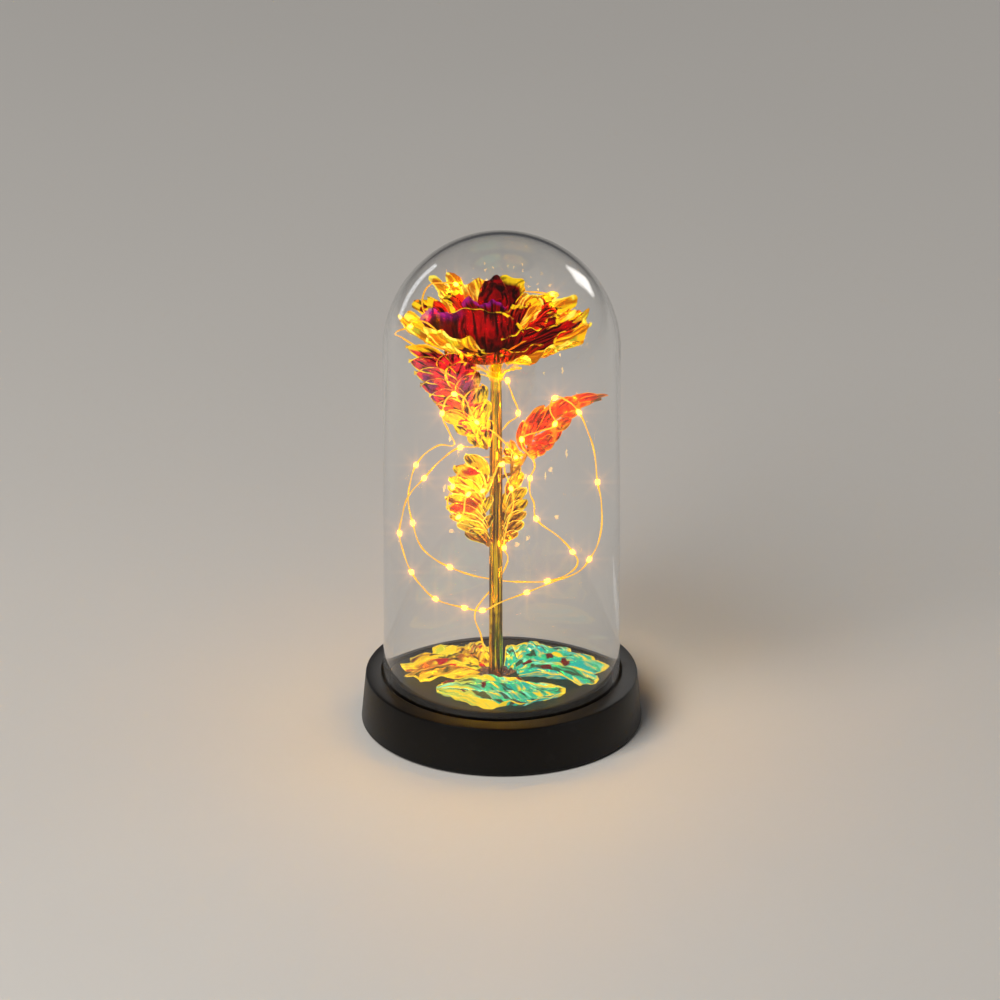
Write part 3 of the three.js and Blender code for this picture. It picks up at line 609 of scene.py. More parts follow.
inner_row = dict(
    cup_row, node="inner_petal", count=5, first=-60, finish=red_gold_foil,
    root=(0.0032, 0.179), knee=(0.014, 0.186), tip=(0.0175, 0.197), spread=42, tuck=0.0009,
    curl=60, fold=0.0005, crumple=0.001,
)
bud_row = dict(
    inner_row, node="bud_petal", count=3, first=-90, finish=bud_foil, slot="red_gold_foil",
    root=(0.0032, 0.1835), knee=(0.0088, 0.193), tip=(0.0068, 0.2035), spread=68, tuck=0.0008,
    jag=0.02, tooth=0.0, curl=-40, fold=0.0001, ruffle=0.0002, crumple=0.0004,
)
# Petals that were bent or colored in a way of their own; the darker red foil of outer_petal_1 is painted
# shade, the purple lips are painted sheen.
singular = {
    "outer_petal_1": dict(knee=(0.02, 0.1735), tip=(0.031, 0.1848), finish=shaded_red_foil, fold=0.0004,
                          ruffle=0.0004, lobes=0.02),
    "outer_petal_2": dict(finish=green_gold_foil, folds=3, fold=0.0014, jag=0.16),
    "outer_petal_3": dict(finish=green_gold_foil, folds=3, fold=0.0012),
    "outer_petal_4": dict(tip=(0.0375, 0.184)),
    "outer_petal_5": dict(tip=(0.038, 0.1815)),
    "outer_petal_6": dict(tip=(0.0375, 0.1815)),
    "outer_petal_7": dict(bearing=184, tip=(0.0405, 0.1855), finish=green_gold_foil, folds=3),
    "outer_petal_8": dict(tip=(0.034, 0.185), finish=green_gold_foil, folds=3),
    "second_petal_1": dict(knee=(0.0245, 0.1745), tip=(0.0338, 0.1905), finish=red_foil, curl=12,
                           fold=0.0005, spread=30, jag=0.05),
    "second_petal_2": dict(finish=red_foil, curl=-15),
    "second_petal_3": dict(finish=gold_foil, tip=(0.0335, 0.1905)),
    "second_petal_4": dict(finish=gold_foil, tip=(0.034, 0.1845)),
    "second_petal_5": dict(finish=gold_foil, tip=(0.035, 0.187)),
    "second_petal_6": dict(tip=(0.0315, 0.194)),
    "second_petal_7": dict(tip=(0.0345, 0.189), finish=green_gold_foil, curl=-50, folds=3),
    "cup_petal_1": dict(knee=(0.031, 0.178), tip=(0.0295, 0.2065), spread=52, curl=60, curl_side=-0.9,
                        curl_start=0.88, round=0.12, flare=0.003, lobes=0.0, fold=0.0004, finish=bowl_foil),
    "cup_petal_3": dict(tip=(0.0265, 0.192), finish=red_gold_foil),
    "cup_petal_4": dict(tip=(0.027, 0.1895), finish=gold_foil),
    "cup_petal_5": dict(bearing=138, tip=(0.0265, 0.1985), spread=28, lobes=-0.13, jag=0.15,
                        crumple=0.002, curl=20, finish=gold_foil),
    "cup_petal_6": dict(tip=(0.0275, 0.198), finish=red_gold_foil),
    "inner_petal_1": dict(bearing=-52, tip=(0.0165, 0.2035), spread=34, curl=35),
    "inner_petal_2": dict(finish=gold_foil),
    "inner_petal_3": dict(bearing=114, tip=(0.0175, 0.1998), jag=0.15, crumple=0.0018, curl=20,
                          finish=gold_foil),
    "inner_petal_4": dict(bearing=168, tip=(0.0195, 0.1978), spread=46, curl=30),
    "inner_petal_5": dict(bearing=-108, tip=(0.0142, 0.206), spread=42, lobes=0.0, curl=50,
                          finish=purple_lip_foil),
    "bud_petal_2": dict(finish=gilt_lip_foil, tip=(0.0104, 0.2038), curl=45),
}

for row in (outer_row, second_row, cup_row, inner_row, bud_row):
    for k in range(row["count"]):
        node = f"{row['node']}_{k + 1}"
        shape = {**row, "bearing": row["first"] + k * 360 / row["count"], **singular.get(node, {})}
        petal = pressed(f"foil_{node}", *PETAL_GRID, petal_surface(shape), PETAL_FOIL)
        shape["finish"].on(petal)
        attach(petal, "root")
        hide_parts(node)


# Heart of the bud: one strip of red foil rolled round itself into a tight cone, its top edge open in a
# spiral. It stands in the middle of the flower and is fixed to the end of the stem.
HEART_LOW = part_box("bud_heart")[0].z
HEART_TOP = 0.208
HEART_TURNS = 2.6
HEART_RADIUS = 0.0056
HEART_CORE = 0.0008
HEART_SLOPE = 0.0022
HEART_CRUMPLE = 0.0003
HEART_GRID = (30, 160)


def heart_surface(u, v):
    turn = math.pi * v * HEART_TURNS
    open_share = 0.45 + 0.55 * (v + 1) / 2
    belly = max(0, math.sin(math.pi * (0.2 + 0.8 * u))) ** 0.55
    radius = HEART_CORE + HEART_RADIUS * open_share * belly
    top = HEART_TOP - HEART_SLOPE * (v + 1) / 2
    height = HEART_LOW + (top - HEART_LOW) * u
    radius += HEART_CRUMPLE * creased((radius, turn / 200, u / 80), 0.004)
    return (STEM_X + radius * math.cos(turn), radius * math.sin(turn), height)


heart = pressed("rolled_heart", *HEART_GRID, heart_surface, PETAL_FOIL)
bud_foil.on(heart)
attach(heart, "root")
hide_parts("bud_heart")


# Leaves: five foil leaves of several sizes, red running into gold, each on a thin stalk fixed to the stem. A
# leaf is a midrib with long lobes on both sides that overlap like scales, each pressed into a gutter with a
# bare gold rim.
LOBE_GRID = (24, 14)
STALK_RADIUS = 0.0007
LOBE_ARCH = 0.09
LOBE_SWEEP = 0.12
LOBE_GUTTER = 0.3
LOBE_TILT = 0.35
GILT_ABOVE = 0.1762
POINTED = 0.95
ROUND = 0.5


def lobe_surface(start, end, half, face, side, taper, bow):
    """One lobe from the midrib to its end, side 1 or -1 by the edge that lies on its neighbour."""
    length = (end - start).length
    way = (end - start) / length
    across = way.cross(face).normalized()
    up = across.cross(way).normalized()

    def surface(u, v):
        rounding = max(0.0004, 1 - (max(0, u - 0.62) / 0.38) ** 2.4) ** taper
        wide = half * (0.4 + 0.6 * math.sin(math.pi / 2 * min(1, u / 0.62))) * rounding
        wide *= 1 + 0.1 * noise.noise(start * 300 + Vector((u * 3, v, 0)))
        sweep = bow * length * side * math.sin(math.pi * u)
        arch = LOBE_ARCH * length * math.sin(math.pi * min(1, u * 1.1)) - 0.12 * length * max(0, u - 0.7)
        gutter = LOBE_GUTTER * half * (v * v - 0.5) * math.sin(math.pi * (0.15 + 0.6 * u))
        tilt = LOBE_TILT * half * v * side
        place = start + way * (length * u) + across * (wide * v + sweep)
        crumple = (creased(place, 0.006) - 0.3) * 0.0009
        return place + up * (arch + gutter + tilt + crumple)

    return surface


def curve_through(points):
    bpy.ops.curve.primitive_bezier_curve_add(location=(0, 0, 0))
    curve = bpy.context.object
    spline = curve.data.splines[0]
    spline.bezier_points.add(len(points) - 2)
    for knot, place in zip(spline.bezier_points, points):
        knot.co = place
        knot.handle_left_type = knot.handle_right_type = "AUTO"
    curve.data.use_fill_caps = True
    return curve


def stalk_along(points):
    """A thin stalk through the points, as a mesh of its own."""
    stalk = curve_through(points)
    stalk.data.bevel_depth = STALK_RADIUS
    stalk.data.bevel_resolution = 4
    bpy.ops.object.convert(target="MESH")
    return stalk


def joined(pieces, name):
    picked(*pieces)
    bpy.ops.object.join()
    pieces[0].name = name
    return pieces[0]


ROSE = color(0.8, 0.03, 0.05)
PLUM = color(0.25, 0.015, 0.12)


def leaf_finish(name, base, blade, rim, patch_color, painted_shade, slant, low, high):
    """Leaf foil: base color near the stem, blade color beyond a slanting line, a bare rim round each lobe,
    painted shade in the valleys and an emission that is a painted glow.
    """
    finish = FoilFinish(name, metallic=0.9, coat_weight=0.1, coat_roughness=0.04, emission_strength=0.9)
    up = finish.part("Z")
    wander = finish.noise(140, 3, 0.5) - 0.5
    outward = finish.between(up + finish.part("X") * slant + wander * 0.02, low, high)
    gilt_top = finish.between(up, GILT_ABOVE, GILT_ABOVE + 0.0012)
    paint = finish.mixed(outward, base, blade)
    paint = finish.mixed(finish.between(finish.noise(110, 2, 0.5), 0.54, 0.62) * outward, paint, patch_color)
    valleys = finish.noise(1, 3, 0.5, where=finish.fan(5, 1.2, 150))
    paint = finish.mixed(gilt_top, paint, GOLD)
    blots = finish.between(finish.noise(230, 2, 0.5), 0.55, 0.6) * (1 - outward)
    paint = finish.mixed(blots, paint, blade)
    # Painted shade in the valleys of each lobe.
    paint = finish.mixed(finish.between(valleys, 0.49, 0.38), paint, painted_shade)
    edge_share = finish.between(finish.side + wander * 0.4, 0.84, 0.93)
    rim_share = finish.maths("MAXIMUM", edge_share, finish.between(finish.along, 0.94, 0.98))
    # Painted glow: emission on the ridges and in stretches of the rim.
    light = finish.mixed(finish.between(valleys, 0.38, 0.62) * (0.8 - outward * 0.2), NIGHT, paint)
    light = finish.mixed(rim_share * finish.between(finish.noise(170, 2), 0.38, 0.62), light, rim)
    paint = finish.mixed(rim_share, paint, rim)
    finish.feed(base_color=paint, emission_color=light)
    finish.polished(valleys * 1.3 + finish.noise(260, 2, 0.5, 0.3) * 0.5, 0.0005)
    return finish


BRONZE = color(0.55, 0.2, 0.008)
GOLD_LEAF_SHADE = color(0.26, 0.09, 0.005)
AMBER_ORANGE = color(0.95, 0.3, 0.008)
DARK_STALK = color(0.12, 0.04, 0.01)
PALE_STALK = color(0.5, 0.28, 0.03)

rose_leaf = leaf_finish("rose_leaf_foil", GOLD, ROSE, GOLD, PLUM, NEAR_BLACK, -1.0, 0.162, 0.174)
orange_leaf = leaf_finish("orange_leaf_foil", GOLD, SCARLET, AMBER_ORANGE, AMBER_ORANGE, RED,
                          0.8, 0.133, 0.143)
gold_leaf = leaf_finish("gold_leaf_foil", BRONZE, GOLD, PALE_GOLD, RED, GOLD_LEAF_SHADE, 0.0, 0.09, 0.105)
brown_stalk = Finish("brown_stalk", metallic=0.7, roughness=0.3)
brown_stalk.feed(base_color=brown_stalk.mixed(brown_stalk.noise(300, 3), DARK_STALK, PALE_STALK))

# Each lobe: where it leaves the midrib, its end, and half its width. The first lobes, as many as one_side
# says, stand on one side of the midrib and the rest on the other.
leaves = {
    "leaf_upper_left": dict(
        stalk=[(-0.0066, -0.0006, 0.1285), (-0.0066, -0.002, 0.1295)],
        spine=[(-0.0063, -0.0029, 0.1296), (-0.017, -0.0064, 0.1543), (-0.0238, -0.0094, 0.1766)],
        face=(0.03, -0.95, -0.12), wide=2.5, lean=0.14, pointed=9, one_side=9,
        finish=rose_leaf, slot="red_gold_foil",
        lobes=[
            (0.97, (-0.0405, -0.0102, 0.1788), 0.0018), (0.88, (-0.0393, -0.0093, 0.1718), 0.0020),
            (0.78, (-0.0371, -0.0084, 0.1657), 0.0021), (0.68, (-0.0345, -0.0076, 0.1601), 0.0021),
            (0.57, (-0.0307, -0.0069, 0.1551), 0.0021), (0.47, (-0.0277, -0.0063, 0.151), 0.0020),
            (0.36, (-0.026, -0.0056, 0.1459), 0.0019), (0.24, (-0.0204, -0.0048, 0.1408), 0.0017),
            (0.12, (-0.0144, -0.0039, 0.1357), 0.0015), (0.90, (-0.0191, -0.0093, 0.177), 0.0027),
            (0.74, (-0.0148, -0.0086, 0.1724), 0.0027), (0.58, (-0.0118, -0.0076, 0.1658), 0.0021),
            (0.42, (-0.0084, -0.0066, 0.1587), 0.0021), (0.26, (-0.0063, -0.0056, 0.1512), 0.0017),
            (0.12, (-0.0054, -0.0044, 0.1421), 0.0015),
        ],
    ),
    "leaf_right": dict(
        stalk=[(0.002, -0.0006, 0.1095), (0.004, -0.0015, 0.115)],
        spine=[(0.01, -0.0028, 0.1258), (0.0137, -0.0051, 0.1482), (0.042, -0.0071, 0.154)],
        face=(-0.05, -0.95, -0.08), wide=1.0, lean=0.0, pointed=2, one_side=6,
        sweep=-0.12, finish=orange_leaf, slot="red_gold_foil",
        lobes=[
            (0.7, (0.0448, -0.0066, 0.1547), 0.001), (0.5, (0.0412, -0.0066, 0.1545), 0.0028),
            (0.3, (0.0308, -0.0072, 0.153), 0.0032), (0.1, (0.0181, -0.0066, 0.1496), 0.0029),
            (0.03, (0.0094, -0.006, 0.1424), 0.0019), (0.0, (0.0041, -0.0052, 0.1335), 0.0017),
            (0.58, (0.0334, -0.0068, 0.1491), 0.0022), (0.38, (0.0293, -0.0072, 0.1452), 0.0031),
            (0.2, (0.025, -0.0068, 0.1408), 0.0038), (0.12, (0.022, -0.0064, 0.1365), 0.0037),
            (0.06, (0.0181, -0.006, 0.1319), 0.0033), (0.02, (0.0145, -0.005, 0.1281), 0.0024),
        ],
    ),
    "leaf_lower_left": dict(
        stalk=[(-0.0068, -0.0016, 0.086), (-0.0066, -0.003, 0.0865)],
        spine=[(-0.0054, -0.0043, 0.0862), (-0.0093, -0.0057, 0.1039), (-0.0063, -0.0053, 0.1226)],
        face=(0.24, -0.95, -0.02), wide=1.6, lean=0.1, pointed=0, one_side=9,
        finish=gold_leaf, slot="gold_foil",
        lobes=[
            (0.90, (-0.0144, -0.0075, 0.1284), 0.0023), (0.78, (-0.0195, -0.0087, 0.1237), 0.0024),
            (0.66, (-0.0217, -0.0091, 0.1187), 0.0021), (0.56, (-0.0221, -0.0091, 0.1145), 0.0020),
            (0.47, (-0.0234, -0.0094, 0.1099), 0.0020), (0.38, (-0.023, -0.0092, 0.1055), 0.0019),
            (0.30, (-0.0213, -0.0086, 0.101), 0.0020), (0.22, (-0.0183, -0.0078, 0.0973), 0.0021),
            (0.12, (-0.0148, -0.0068, 0.0931), 0.0021), (0.72, (-0.0041, -0.0046, 0.1171), 0.0015),
            (0.50, (-0.0041, -0.0045, 0.1085), 0.0015), (0.30, (-0.0041, -0.0043, 0.0999), 0.0015),
        ],
    ),
    "leaf_lower_right": dict(
        stalk=[(0.002, -0.0004, 0.0865), (0.002, -0.0003, 0.0875)],
        spine=[(0.0006, -0.0, 0.0847), (0.0023, 0.0, 0.0965), (0.0045, 0.0, 0.1117)],
        face=(0.0, -1.0, 0.0), wide=1.7, lean=0.08, pointed=0, one_side=0,
        finish=gold_leaf, slot="red_gold_foil",
        lobes=[
            (0.86, (0.0083, 0.0, 0.1169), 0.0019), (0.68, (0.01, 0.0, 0.1102), 0.0019),
            (0.50, (0.0105, 0.0, 0.1046), 0.0018), (0.36, (0.01, 0.0, 0.0994), 0.0017),
            (0.24, (0.0092, 0.0, 0.0946), 0.0017), (0.12, (0.0066, 0.0, 0.0904), 0.0015),
            (0.66, (0.0019, 0.0, 0.1083), 0.0013), (0.42, (0.0006, -0.0, 0.1013), 0.0013),
            (0.22, (0.0002, -0.0, 0.0942), 0.0011),
        ],
    ),
    "leaf_bract": dict(
        stalk=[(0.0, 0.0042, 0.113), (0.002, 0.0038, 0.1145)],
        spine=[(0.004, 0.0028, 0.1155), (0.0045, 0.0024, 0.1205), (0.0049, 0.0018, 0.1259)],
        face=(0.0, -1.0, -0.1), wide=1.8, lean=0.05, pointed=0, one_side=2,
        finish=gold_leaf, slot="gold_foil",
        lobes=[
            (0.75, (0.0015, 0.0017, 0.1269), 0.0014), (0.50, (0.0002, 0.0021, 0.123), 0.0013),
            (0.75, (0.0083, 0.0019, 0.1254), 0.0014), (0.50, (0.0092, 0.0023, 0.121), 0.0013),
            (0.30, (0.0079, 0.0027, 0.1165), 0.0012),
        ],
    ),
}
for node, shape in leaves.items():
    root, bend, tip = (Vector(place) for place in shape["spine"])
    face = Vector(shape["face"]).normalized()
    midrib = [root * (1 - u) ** 2 + bend * 2 * (1 - u) * u + tip * u**2 for u in (0, 0.25, 0.5, 0.75, 1)]
    pieces = [stalk_along([Vector(place) for place in shape["stalk"]] + midrib)]
    brown_stalk.on(pieces[0])
    for k, (u, end, half) in enumerate(shape["lobes"]):
        u = max(0, u - shape["lean"])
        start = root * (1 - u) ** 2 + bend * 2 * (1 - u) * u + tip * u**2
        side = 1 if k < shape["one_side"] else -1
        taper = POINTED if k < shape["pointed"] else ROUND
        bow = shape.get("sweep", LOBE_SWEEP)
        surface = lobe_surface(start, Vector(end), half * shape["wide"], face, side, taper, bow)
        lobe = pressed(node, *LOBE_GRID, surface, PETAL_FOIL)
        shape["finish"].on(lobe)
        pieces.append(lobe)
    leaf = joined(pieces, f"foil_{node}")
    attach(leaf, "root")
    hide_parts(node)


# Fallen petals: three broad pieces of crumpled foil laid on the plinth round the stem, amber at the left,
# teal at the right and in front, with bare gold edges.
FALLEN_GRID = (56, 120)
FALLEN_REST = PLINTH_HEIGHT + 0.0006
FOLD_LIFT = 0.0042
FRONT_LEFT = -0.027
FRONT_RIGHT = 0.0265
FRONT_MIDDLE = -0.0232
FRONT_HALF_DEPTH = 0.0165

TEAL = color(0.0, 0.44, 0.4)
LEAF_GREEN = color(0.03, 0.5, 0.22)
MINT = color(0.2, 0.8, 0.6)
YELLOW = color(0.95, 0.68, 0.015)
LIME = color(0.6, 0.62, 0.03)
AMBER = color(0.4, 0.1, 0.003)
FALLEN_FOIL_SHADE = color(0.03, 0.022, 0.003)


def fallen_surface(bearing, half, near_half, near, far, folds):
    """A foil cut as a fan round the stem, with folds that run out from it."""

    def surface(u, v):
        jag = 0.1 * noise.noise((v * 4, bearing, 0)) + 0.008 * abs((v * 30) % 2 - 1)
        edge = far * (1 - 0.1 * v * v + 0.04 * math.cos(5 * math.pi * v) + jag * u)
        radius = near + (edge - near) * u
        open_half = near_half + (half - near_half) * min(1, u * 1.6)
        turn = math.radians(bearing + v * open_half)
        x, y = radius * math.cos(turn), radius * math.sin(turn)
        wave = folds * v + 0.5 * math.sin(2.6 * u + 2 * v)
        fold = abs(math.sin(math.pi * wave / 2)) * FOLD_LIFT + abs(math.sin(math.pi * wave * 1.7)) * 0.0016
        ease = math.sin(math.pi * (0.12 + 0.78 * u))
        crumple = creased((radius * 0.5, turn * 0.03, 0), 0.006) * 0.0024
        return (x, y, FALLEN_REST + fold * ease + crumple * (0.3 + 0.7 * u))

    return surface


def crosswise_surface(u, v):
    """The front foil, an oval that lies across, with folds that run from its left tip to its right tip."""
    jag = 1 + 0.24 * noise.noise((u * 7, v * 0.7, 4)) + 0.05 * math.cos(14 * u)
    half = FRONT_HALF_DEPTH * math.sin(math.pi * (0.03 + 0.94 * u)) ** 0.7 * jag
    x = FRONT_LEFT + (FRONT_RIGHT - FRONT_LEFT) * u
    y = FRONT_MIDDLE + half * v + 0.003 * math.cos(5 * u)
    wave = 2.6 * v + 0.6 * math.sin(5 * u)
    fold = abs(math.sin(math.pi * wave / 2)) * FOLD_LIFT
    fold += abs(math.sin(math.pi * wave * 1.6 + 2 * u)) * 0.0018
    ease = 0.35 + 0.65 * math.sin(math.pi * u) * (1 - 0.6 * v**4)
    crumple = creased((x * 0.6, y * 1.3, 2), 0.006) * 0.0018
    return (x, y, FALLEN_REST + fold * ease + crumple)


def fallen_finish(name, deep, bright, pale, gilt, spots, left_end=None):
    """Thin foil in long streaks of color that fan out from its narrow end, with gold edges and red spots,
    pale streaks that are painted highlights, painted shade in the darkest streaks and an emission that is a
    painted glow.
    """
    finish = FoilFinish(name, metallic=0.75, coat_weight=0.2, coat_roughness=0.05, emission_strength=0.8)
    fan = finish.fan(9, 1.6, 70)
    streaks = finish.noise(1, 2, 0.5, 0.4, where=fan)
    finer = finish.noise(1.9, 2, 0.5, 0.5, where=fan)
    paint = finish.mixed(finish.between(streaks, 0.36, 0.58), deep, bright)
    if left_end:
        at_left = finish.between(finish.part("X") + (streaks - 0.5) * 0.06, -0.003, -0.017) * 0.85
        paint = finish.mixed(at_left, paint, left_end)
    # Painted highlights: the pale color along the brightest streaks.
    paint = finish.mixed(finish.between(streaks, 0.56, 0.66), paint, pale)
    paint = finish.mixed(finish.between(finer, 0.52, 0.64), paint, gilt)
    # Painted shade: a dark color over the lowest streaks.
    painted_shade = finish.between(finer, 0.46, 0.38)
    paint = finish.mixed(painted_shade * 0.9, paint, FALLEN_FOIL_SHADE)
    dots = finish.cells(82, voronoi_dimensions="2D")
    spot = finish.between(dots + (streaks - 0.5) * 0.6 + (finer - 0.5) * 0.4, 0.15, 0.09)
    paint = finish.mixed(spot * finish.between(finish.along, 0.8, 0.65), paint, spots)
    rim = finish.maths("MAXIMUM", finish.along, finish.side)
    paint = finish.mixed(finish.between(rim + streaks * 0.2, 1.05, 1.09), paint, gilt)
    # The emission repeats the paint as a painted glow.
    finish.feed(base_color=paint, emission_color=paint)
    finish.polished(streaks * 1.8 + finish.noise(240, 3, 0.5, 0.3) * 0.5, 0.0008)
    return finish


teal_foil = fallen_finish("teal_foil", TEAL, LEAF_GREEN, MINT, YELLOW, DARK_RED, LIME)
amber_foil = fallen_finish("amber_foil", AMBER, GOLD, LIME, YELLOW, RED)
fallen = {
    "fallen_petal_left": (fallen_surface(148, 50, 50, 0.009, 0.0405, 4), amber_foil, "amber_foil"),
    "fallen_petal_right": (fallen_surface(31, 55, 52, 0.0075, 0.041, 5), teal_foil, "teal_foil"),
    "fallen_petal_front": (crosswise_surface, teal_foil, "teal_foil"),
}
for node, (surface, finish, slot) in fallen.items():
    petal = pressed(f"foil_{node}", *FALLEN_GRID, surface, PETAL_FOIL)
    finish.on(petal)
    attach(petal, "root")
    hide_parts(node)


# String of lights: a pair of thin lacquered wires twisted together, with a drop of clear resin cast round
# each warm light. It comes out of its hole in the plinth, is wound about the stem, leaves and flower, and
# hangs in two wide loops between them.
WIRE_RADIUS = 0.0003
WIRE_WIDE = 1.25
WIRE_FLAT = 0.6
WIRE_TWIST = 2.2
BEAD_RADIUS = 0.00085
BEAD_HALF_LENGTH = 0.0013
BEAD_GLOW = 130.0

# Each point of the route, and 1 where a light sits.
string_route = [
    (-0.009, 0.009, 0.02, 0), (-0.009, 0.009, 0.027, 0), (-0.0075, 0.008, 0.033, 0),
    (-0.0085, 0.006, 0.041, 0), (-0.011, 0.003, 0.0525, 0), (-0.008, 0.005, 0.0575, 0),
    (-0.0025, 0.005, 0.0645, 0), (0.0016, 0.0038, 0.073, 0), (0.0026, 0.0, 0.079, 0),
    (0.001, -0.0042, 0.085, 1), (0.0025, -0.005, 0.0965, 0), (0.005, -0.006, 0.1055, 0),
    (0.004, -0.007, 0.113, 1), (0.0015, -0.007, 0.12, 0), (0.0, -0.007, 0.124, 1),
    (-0.0035, -0.0075, 0.1185, 0), (-0.008, -0.0095, 0.113, 1), (-0.014, -0.013, 0.113, 1),
    (-0.018, -0.014, 0.103, 1), (-0.0225, -0.013, 0.1075, 0), (-0.0205, -0.012, 0.116, 1),
    (-0.017, -0.008, 0.1225, 0), (-0.012, -0.001, 0.124, 0), (-0.0065, 0.005, 0.122, 0),
    (-0.0005, 0.006, 0.122, 0), (0.0022, 0.0035, 0.129, 0), (0.0032, -0.003, 0.1305, 0),
    (0.006, -0.0075, 0.1275, 1), (0.0025, -0.007, 0.1325, 0), (-0.004, -0.006, 0.1385, 0),
    (-0.0105, -0.009, 0.144, 1), (-0.02, -0.013, 0.1585, 1), (-0.025, -0.013, 0.15, 1),
    (-0.022, -0.013, 0.141, 0), (-0.02, -0.009, 0.134, 0), (-0.027, 0.001, 0.129, 0),
    (-0.036, 0.01, 0.1165, 1), (-0.0385, 0.012, 0.1065, 0), (-0.039, 0.012, 0.1, 0),
    (-0.037, 0.012, 0.0895, 1), (-0.0335, 0.012, 0.079, 0), (-0.0275, 0.012, 0.073, 0),
    (-0.0215, 0.011, 0.07, 1), (-0.0135, 0.009, 0.0675, 0), (-0.0055, 0.008, 0.066, 0),
    (0.0005, 0.008, 0.065, 0), (0.01, 0.008, 0.0645, 0), (0.019, 0.009, 0.0645, 1),
    (0.027, 0.01, 0.067, 0), (0.0315, 0.009, 0.0725, 0), (0.0295, 0.007, 0.0785, 1),
    (0.0245, 0.005, 0.0855, 0), (0.0145, 0.001, 0.096, 1), (0.0135, -0.003, 0.105, 0),
    (0.012, -0.0045, 0.1095, 0), (0.012, -0.0065, 0.1175, 1), (0.014, -0.0095, 0.125, 0),
    (0.0085, -0.012, 0.1375, 1), (0.0155, -0.013, 0.1415, 0), (0.0225, -0.014, 0.1455, 1),
    (0.0205, -0.014, 0.152, 0), (0.0225, -0.012, 0.1565, 1), (0.028, -0.012, 0.155, 0),
    (0.0325, -0.013, 0.1505, 1), (0.036, -0.014, 0.1425, 0), (0.0385, -0.015, 0.1345, 0),
    (0.04, -0.016, 0.1195, 1), (0.0415, -0.016, 0.11, 0), (0.0405, -0.016, 0.0925, 0),
    (0.0365, -0.015, 0.0835, 1), (0.0325, -0.014, 0.078, 0), (0.0215, -0.012, 0.0725, 0),
    (0.0105, -0.009, 0.0665, 1), (0.0, -0.006, 0.061, 0), (-0.008, -0.007, 0.0575, 1),
    (-0.0155, -0.009, 0.0595, 1), (-0.0275, -0.012, 0.0645, 1), (-0.033, -0.014, 0.0705, 0),
    (-0.0375, -0.015, 0.0775, 1), (-0.041, -0.016, 0.0875, 0), (-0.0425, -0.016, 0.0955, 1),
    (-0.0415, -0.015, 0.1025, 0), (-0.039, -0.013, 0.1115, 0), (-0.0325, -0.01, 0.119, 1),
    (-0.0255, -0.007, 0.126, 0), (-0.0175, -0.002, 0.1295, 1), (-0.0115, 0.001, 0.1285, 0),
    (-0.007, 0.005, 0.129, 0), (-0.0005, 0.006, 0.133, 0), (0.0025, 0.004, 0.1375, 0),
    (0.007, -0.002, 0.145, 1), (0.0045, -0.003, 0.1535, 0), (0.0025, -0.004, 0.1605, 1),
    (0.003, 0.001, 0.1585, 0), (-0.002, 0.0052, 0.157, 0), (-0.008, 0.003, 0.16, 0),
    (-0.0135, -0.0025, 0.1635, 1), (-0.024, -0.002, 0.1685, 0), (-0.034, -0.0025, 0.1745, 0),
    (-0.042, -0.003, 0.18, 0), (-0.044, -0.009, 0.1855, 0), (-0.0385, -0.008, 0.1875, 1),
    (-0.0375, -0.0115, 0.1915, 0), (-0.0325, -0.014, 0.1925, 0), (-0.0264, -0.015, 0.1886, 1),
    (-0.03, -0.009, 0.1905, 0), (-0.0335, -0.002, 0.1945, 0), (-0.031, 0.005, 0.2005, 0),
    (-0.025, 0.0105, 0.1995, 0), (-0.0195, 0.014, 0.1974, 1), (-0.0161, 0.0155, 0.1934, 1),
    (-0.0097, 0.02, 0.1931, 1), (-0.001, 0.0215, 0.1915, 0), (0.009, 0.02, 0.1915, 0),
    (0.0165, 0.015, 0.193, 0), (0.0216, 0.008, 0.1954, 1), (0.0225, 0.0055, 0.1965, 0),
]

wire = curve_through([point[:3] for point in string_route])
for k, knot in enumerate(wire.data.splines[0].bezier_points):
    knot.tilt = k * WIRE_TWIST
bpy.ops.curve.primitive_nurbs_circle_add(radius=WIRE_RADIUS * WIRE_WIDE, location=(0, 0, 0))
section = bpy.context.object
for knot in section.data.splines[0].points:
    knot.co.y *= WIRE_FLAT
wire.data.bevel_mode = "OBJECT"
wire.data.bevel_object = section
wire.data.resolution_u = 8
section.data.resolution_u = 2
picked(wire)
bpy.ops.object.convert(target="MESH")
bpy.data.objects.remove(section)
# The wire's emission is a painted glow, as if lit by the lights on the string.
wire_finish = Finish("lacquered_wire", metallic=1.0, emission_strength=0.9)
wire_painted_glow = wire_finish.mixed(wire_finish.noise(200, 2), color(1.0, 0.6, 0.04), color(1.0, 0.35, 0.01))
wire_finish.feed(emission_color=wire_painted_glow)
wire_finish.feed(base_color=wire_finish.mixed(wire_finish.noise(300, 2), PALE_GOLD, ORANGE))
wire_finish.feed(roughness=0.2 + wire_finish.noise(900, 2) * 0.15)
wire_finish.on(wire)

lamp = Finish("lit_resin", roughness=0.15, emission_strength=BEAD_GLOW, coat_weight=0.5)
lamp.feed(base_color=lamp.mixed(lamp.noise(500, 2), color(1.0, 0.5, 0.03), color(1.0, 0.6, 0.06)))
lamp.feed(emission_color=lamp.mixed(lamp.noise(400, 2), color(1.0, 0.45, 0.012), color(1.0, 0.52, 0.016)))
beads = []
for k, (x, y, z, lit) in enumerate(string_route):
    if lit:
        way = Vector(string_route[k + 1][:3]) - Vector(string_route[k - 1][:3])
        turn = way.to_track_quat("Z", "Y").to_euler()
        bpy.ops.mesh.primitive_uv_sphere_add(segments=20, ring_count=12, radius=1, location=(x, y, z),
                                             rotation=turn)
        bead = bpy.context.object
        bead.scale = (BEAD_RADIUS, BEAD_RADIUS, BEAD_HALF_LENGTH)
        beads.append(bead)
picked(*beads)
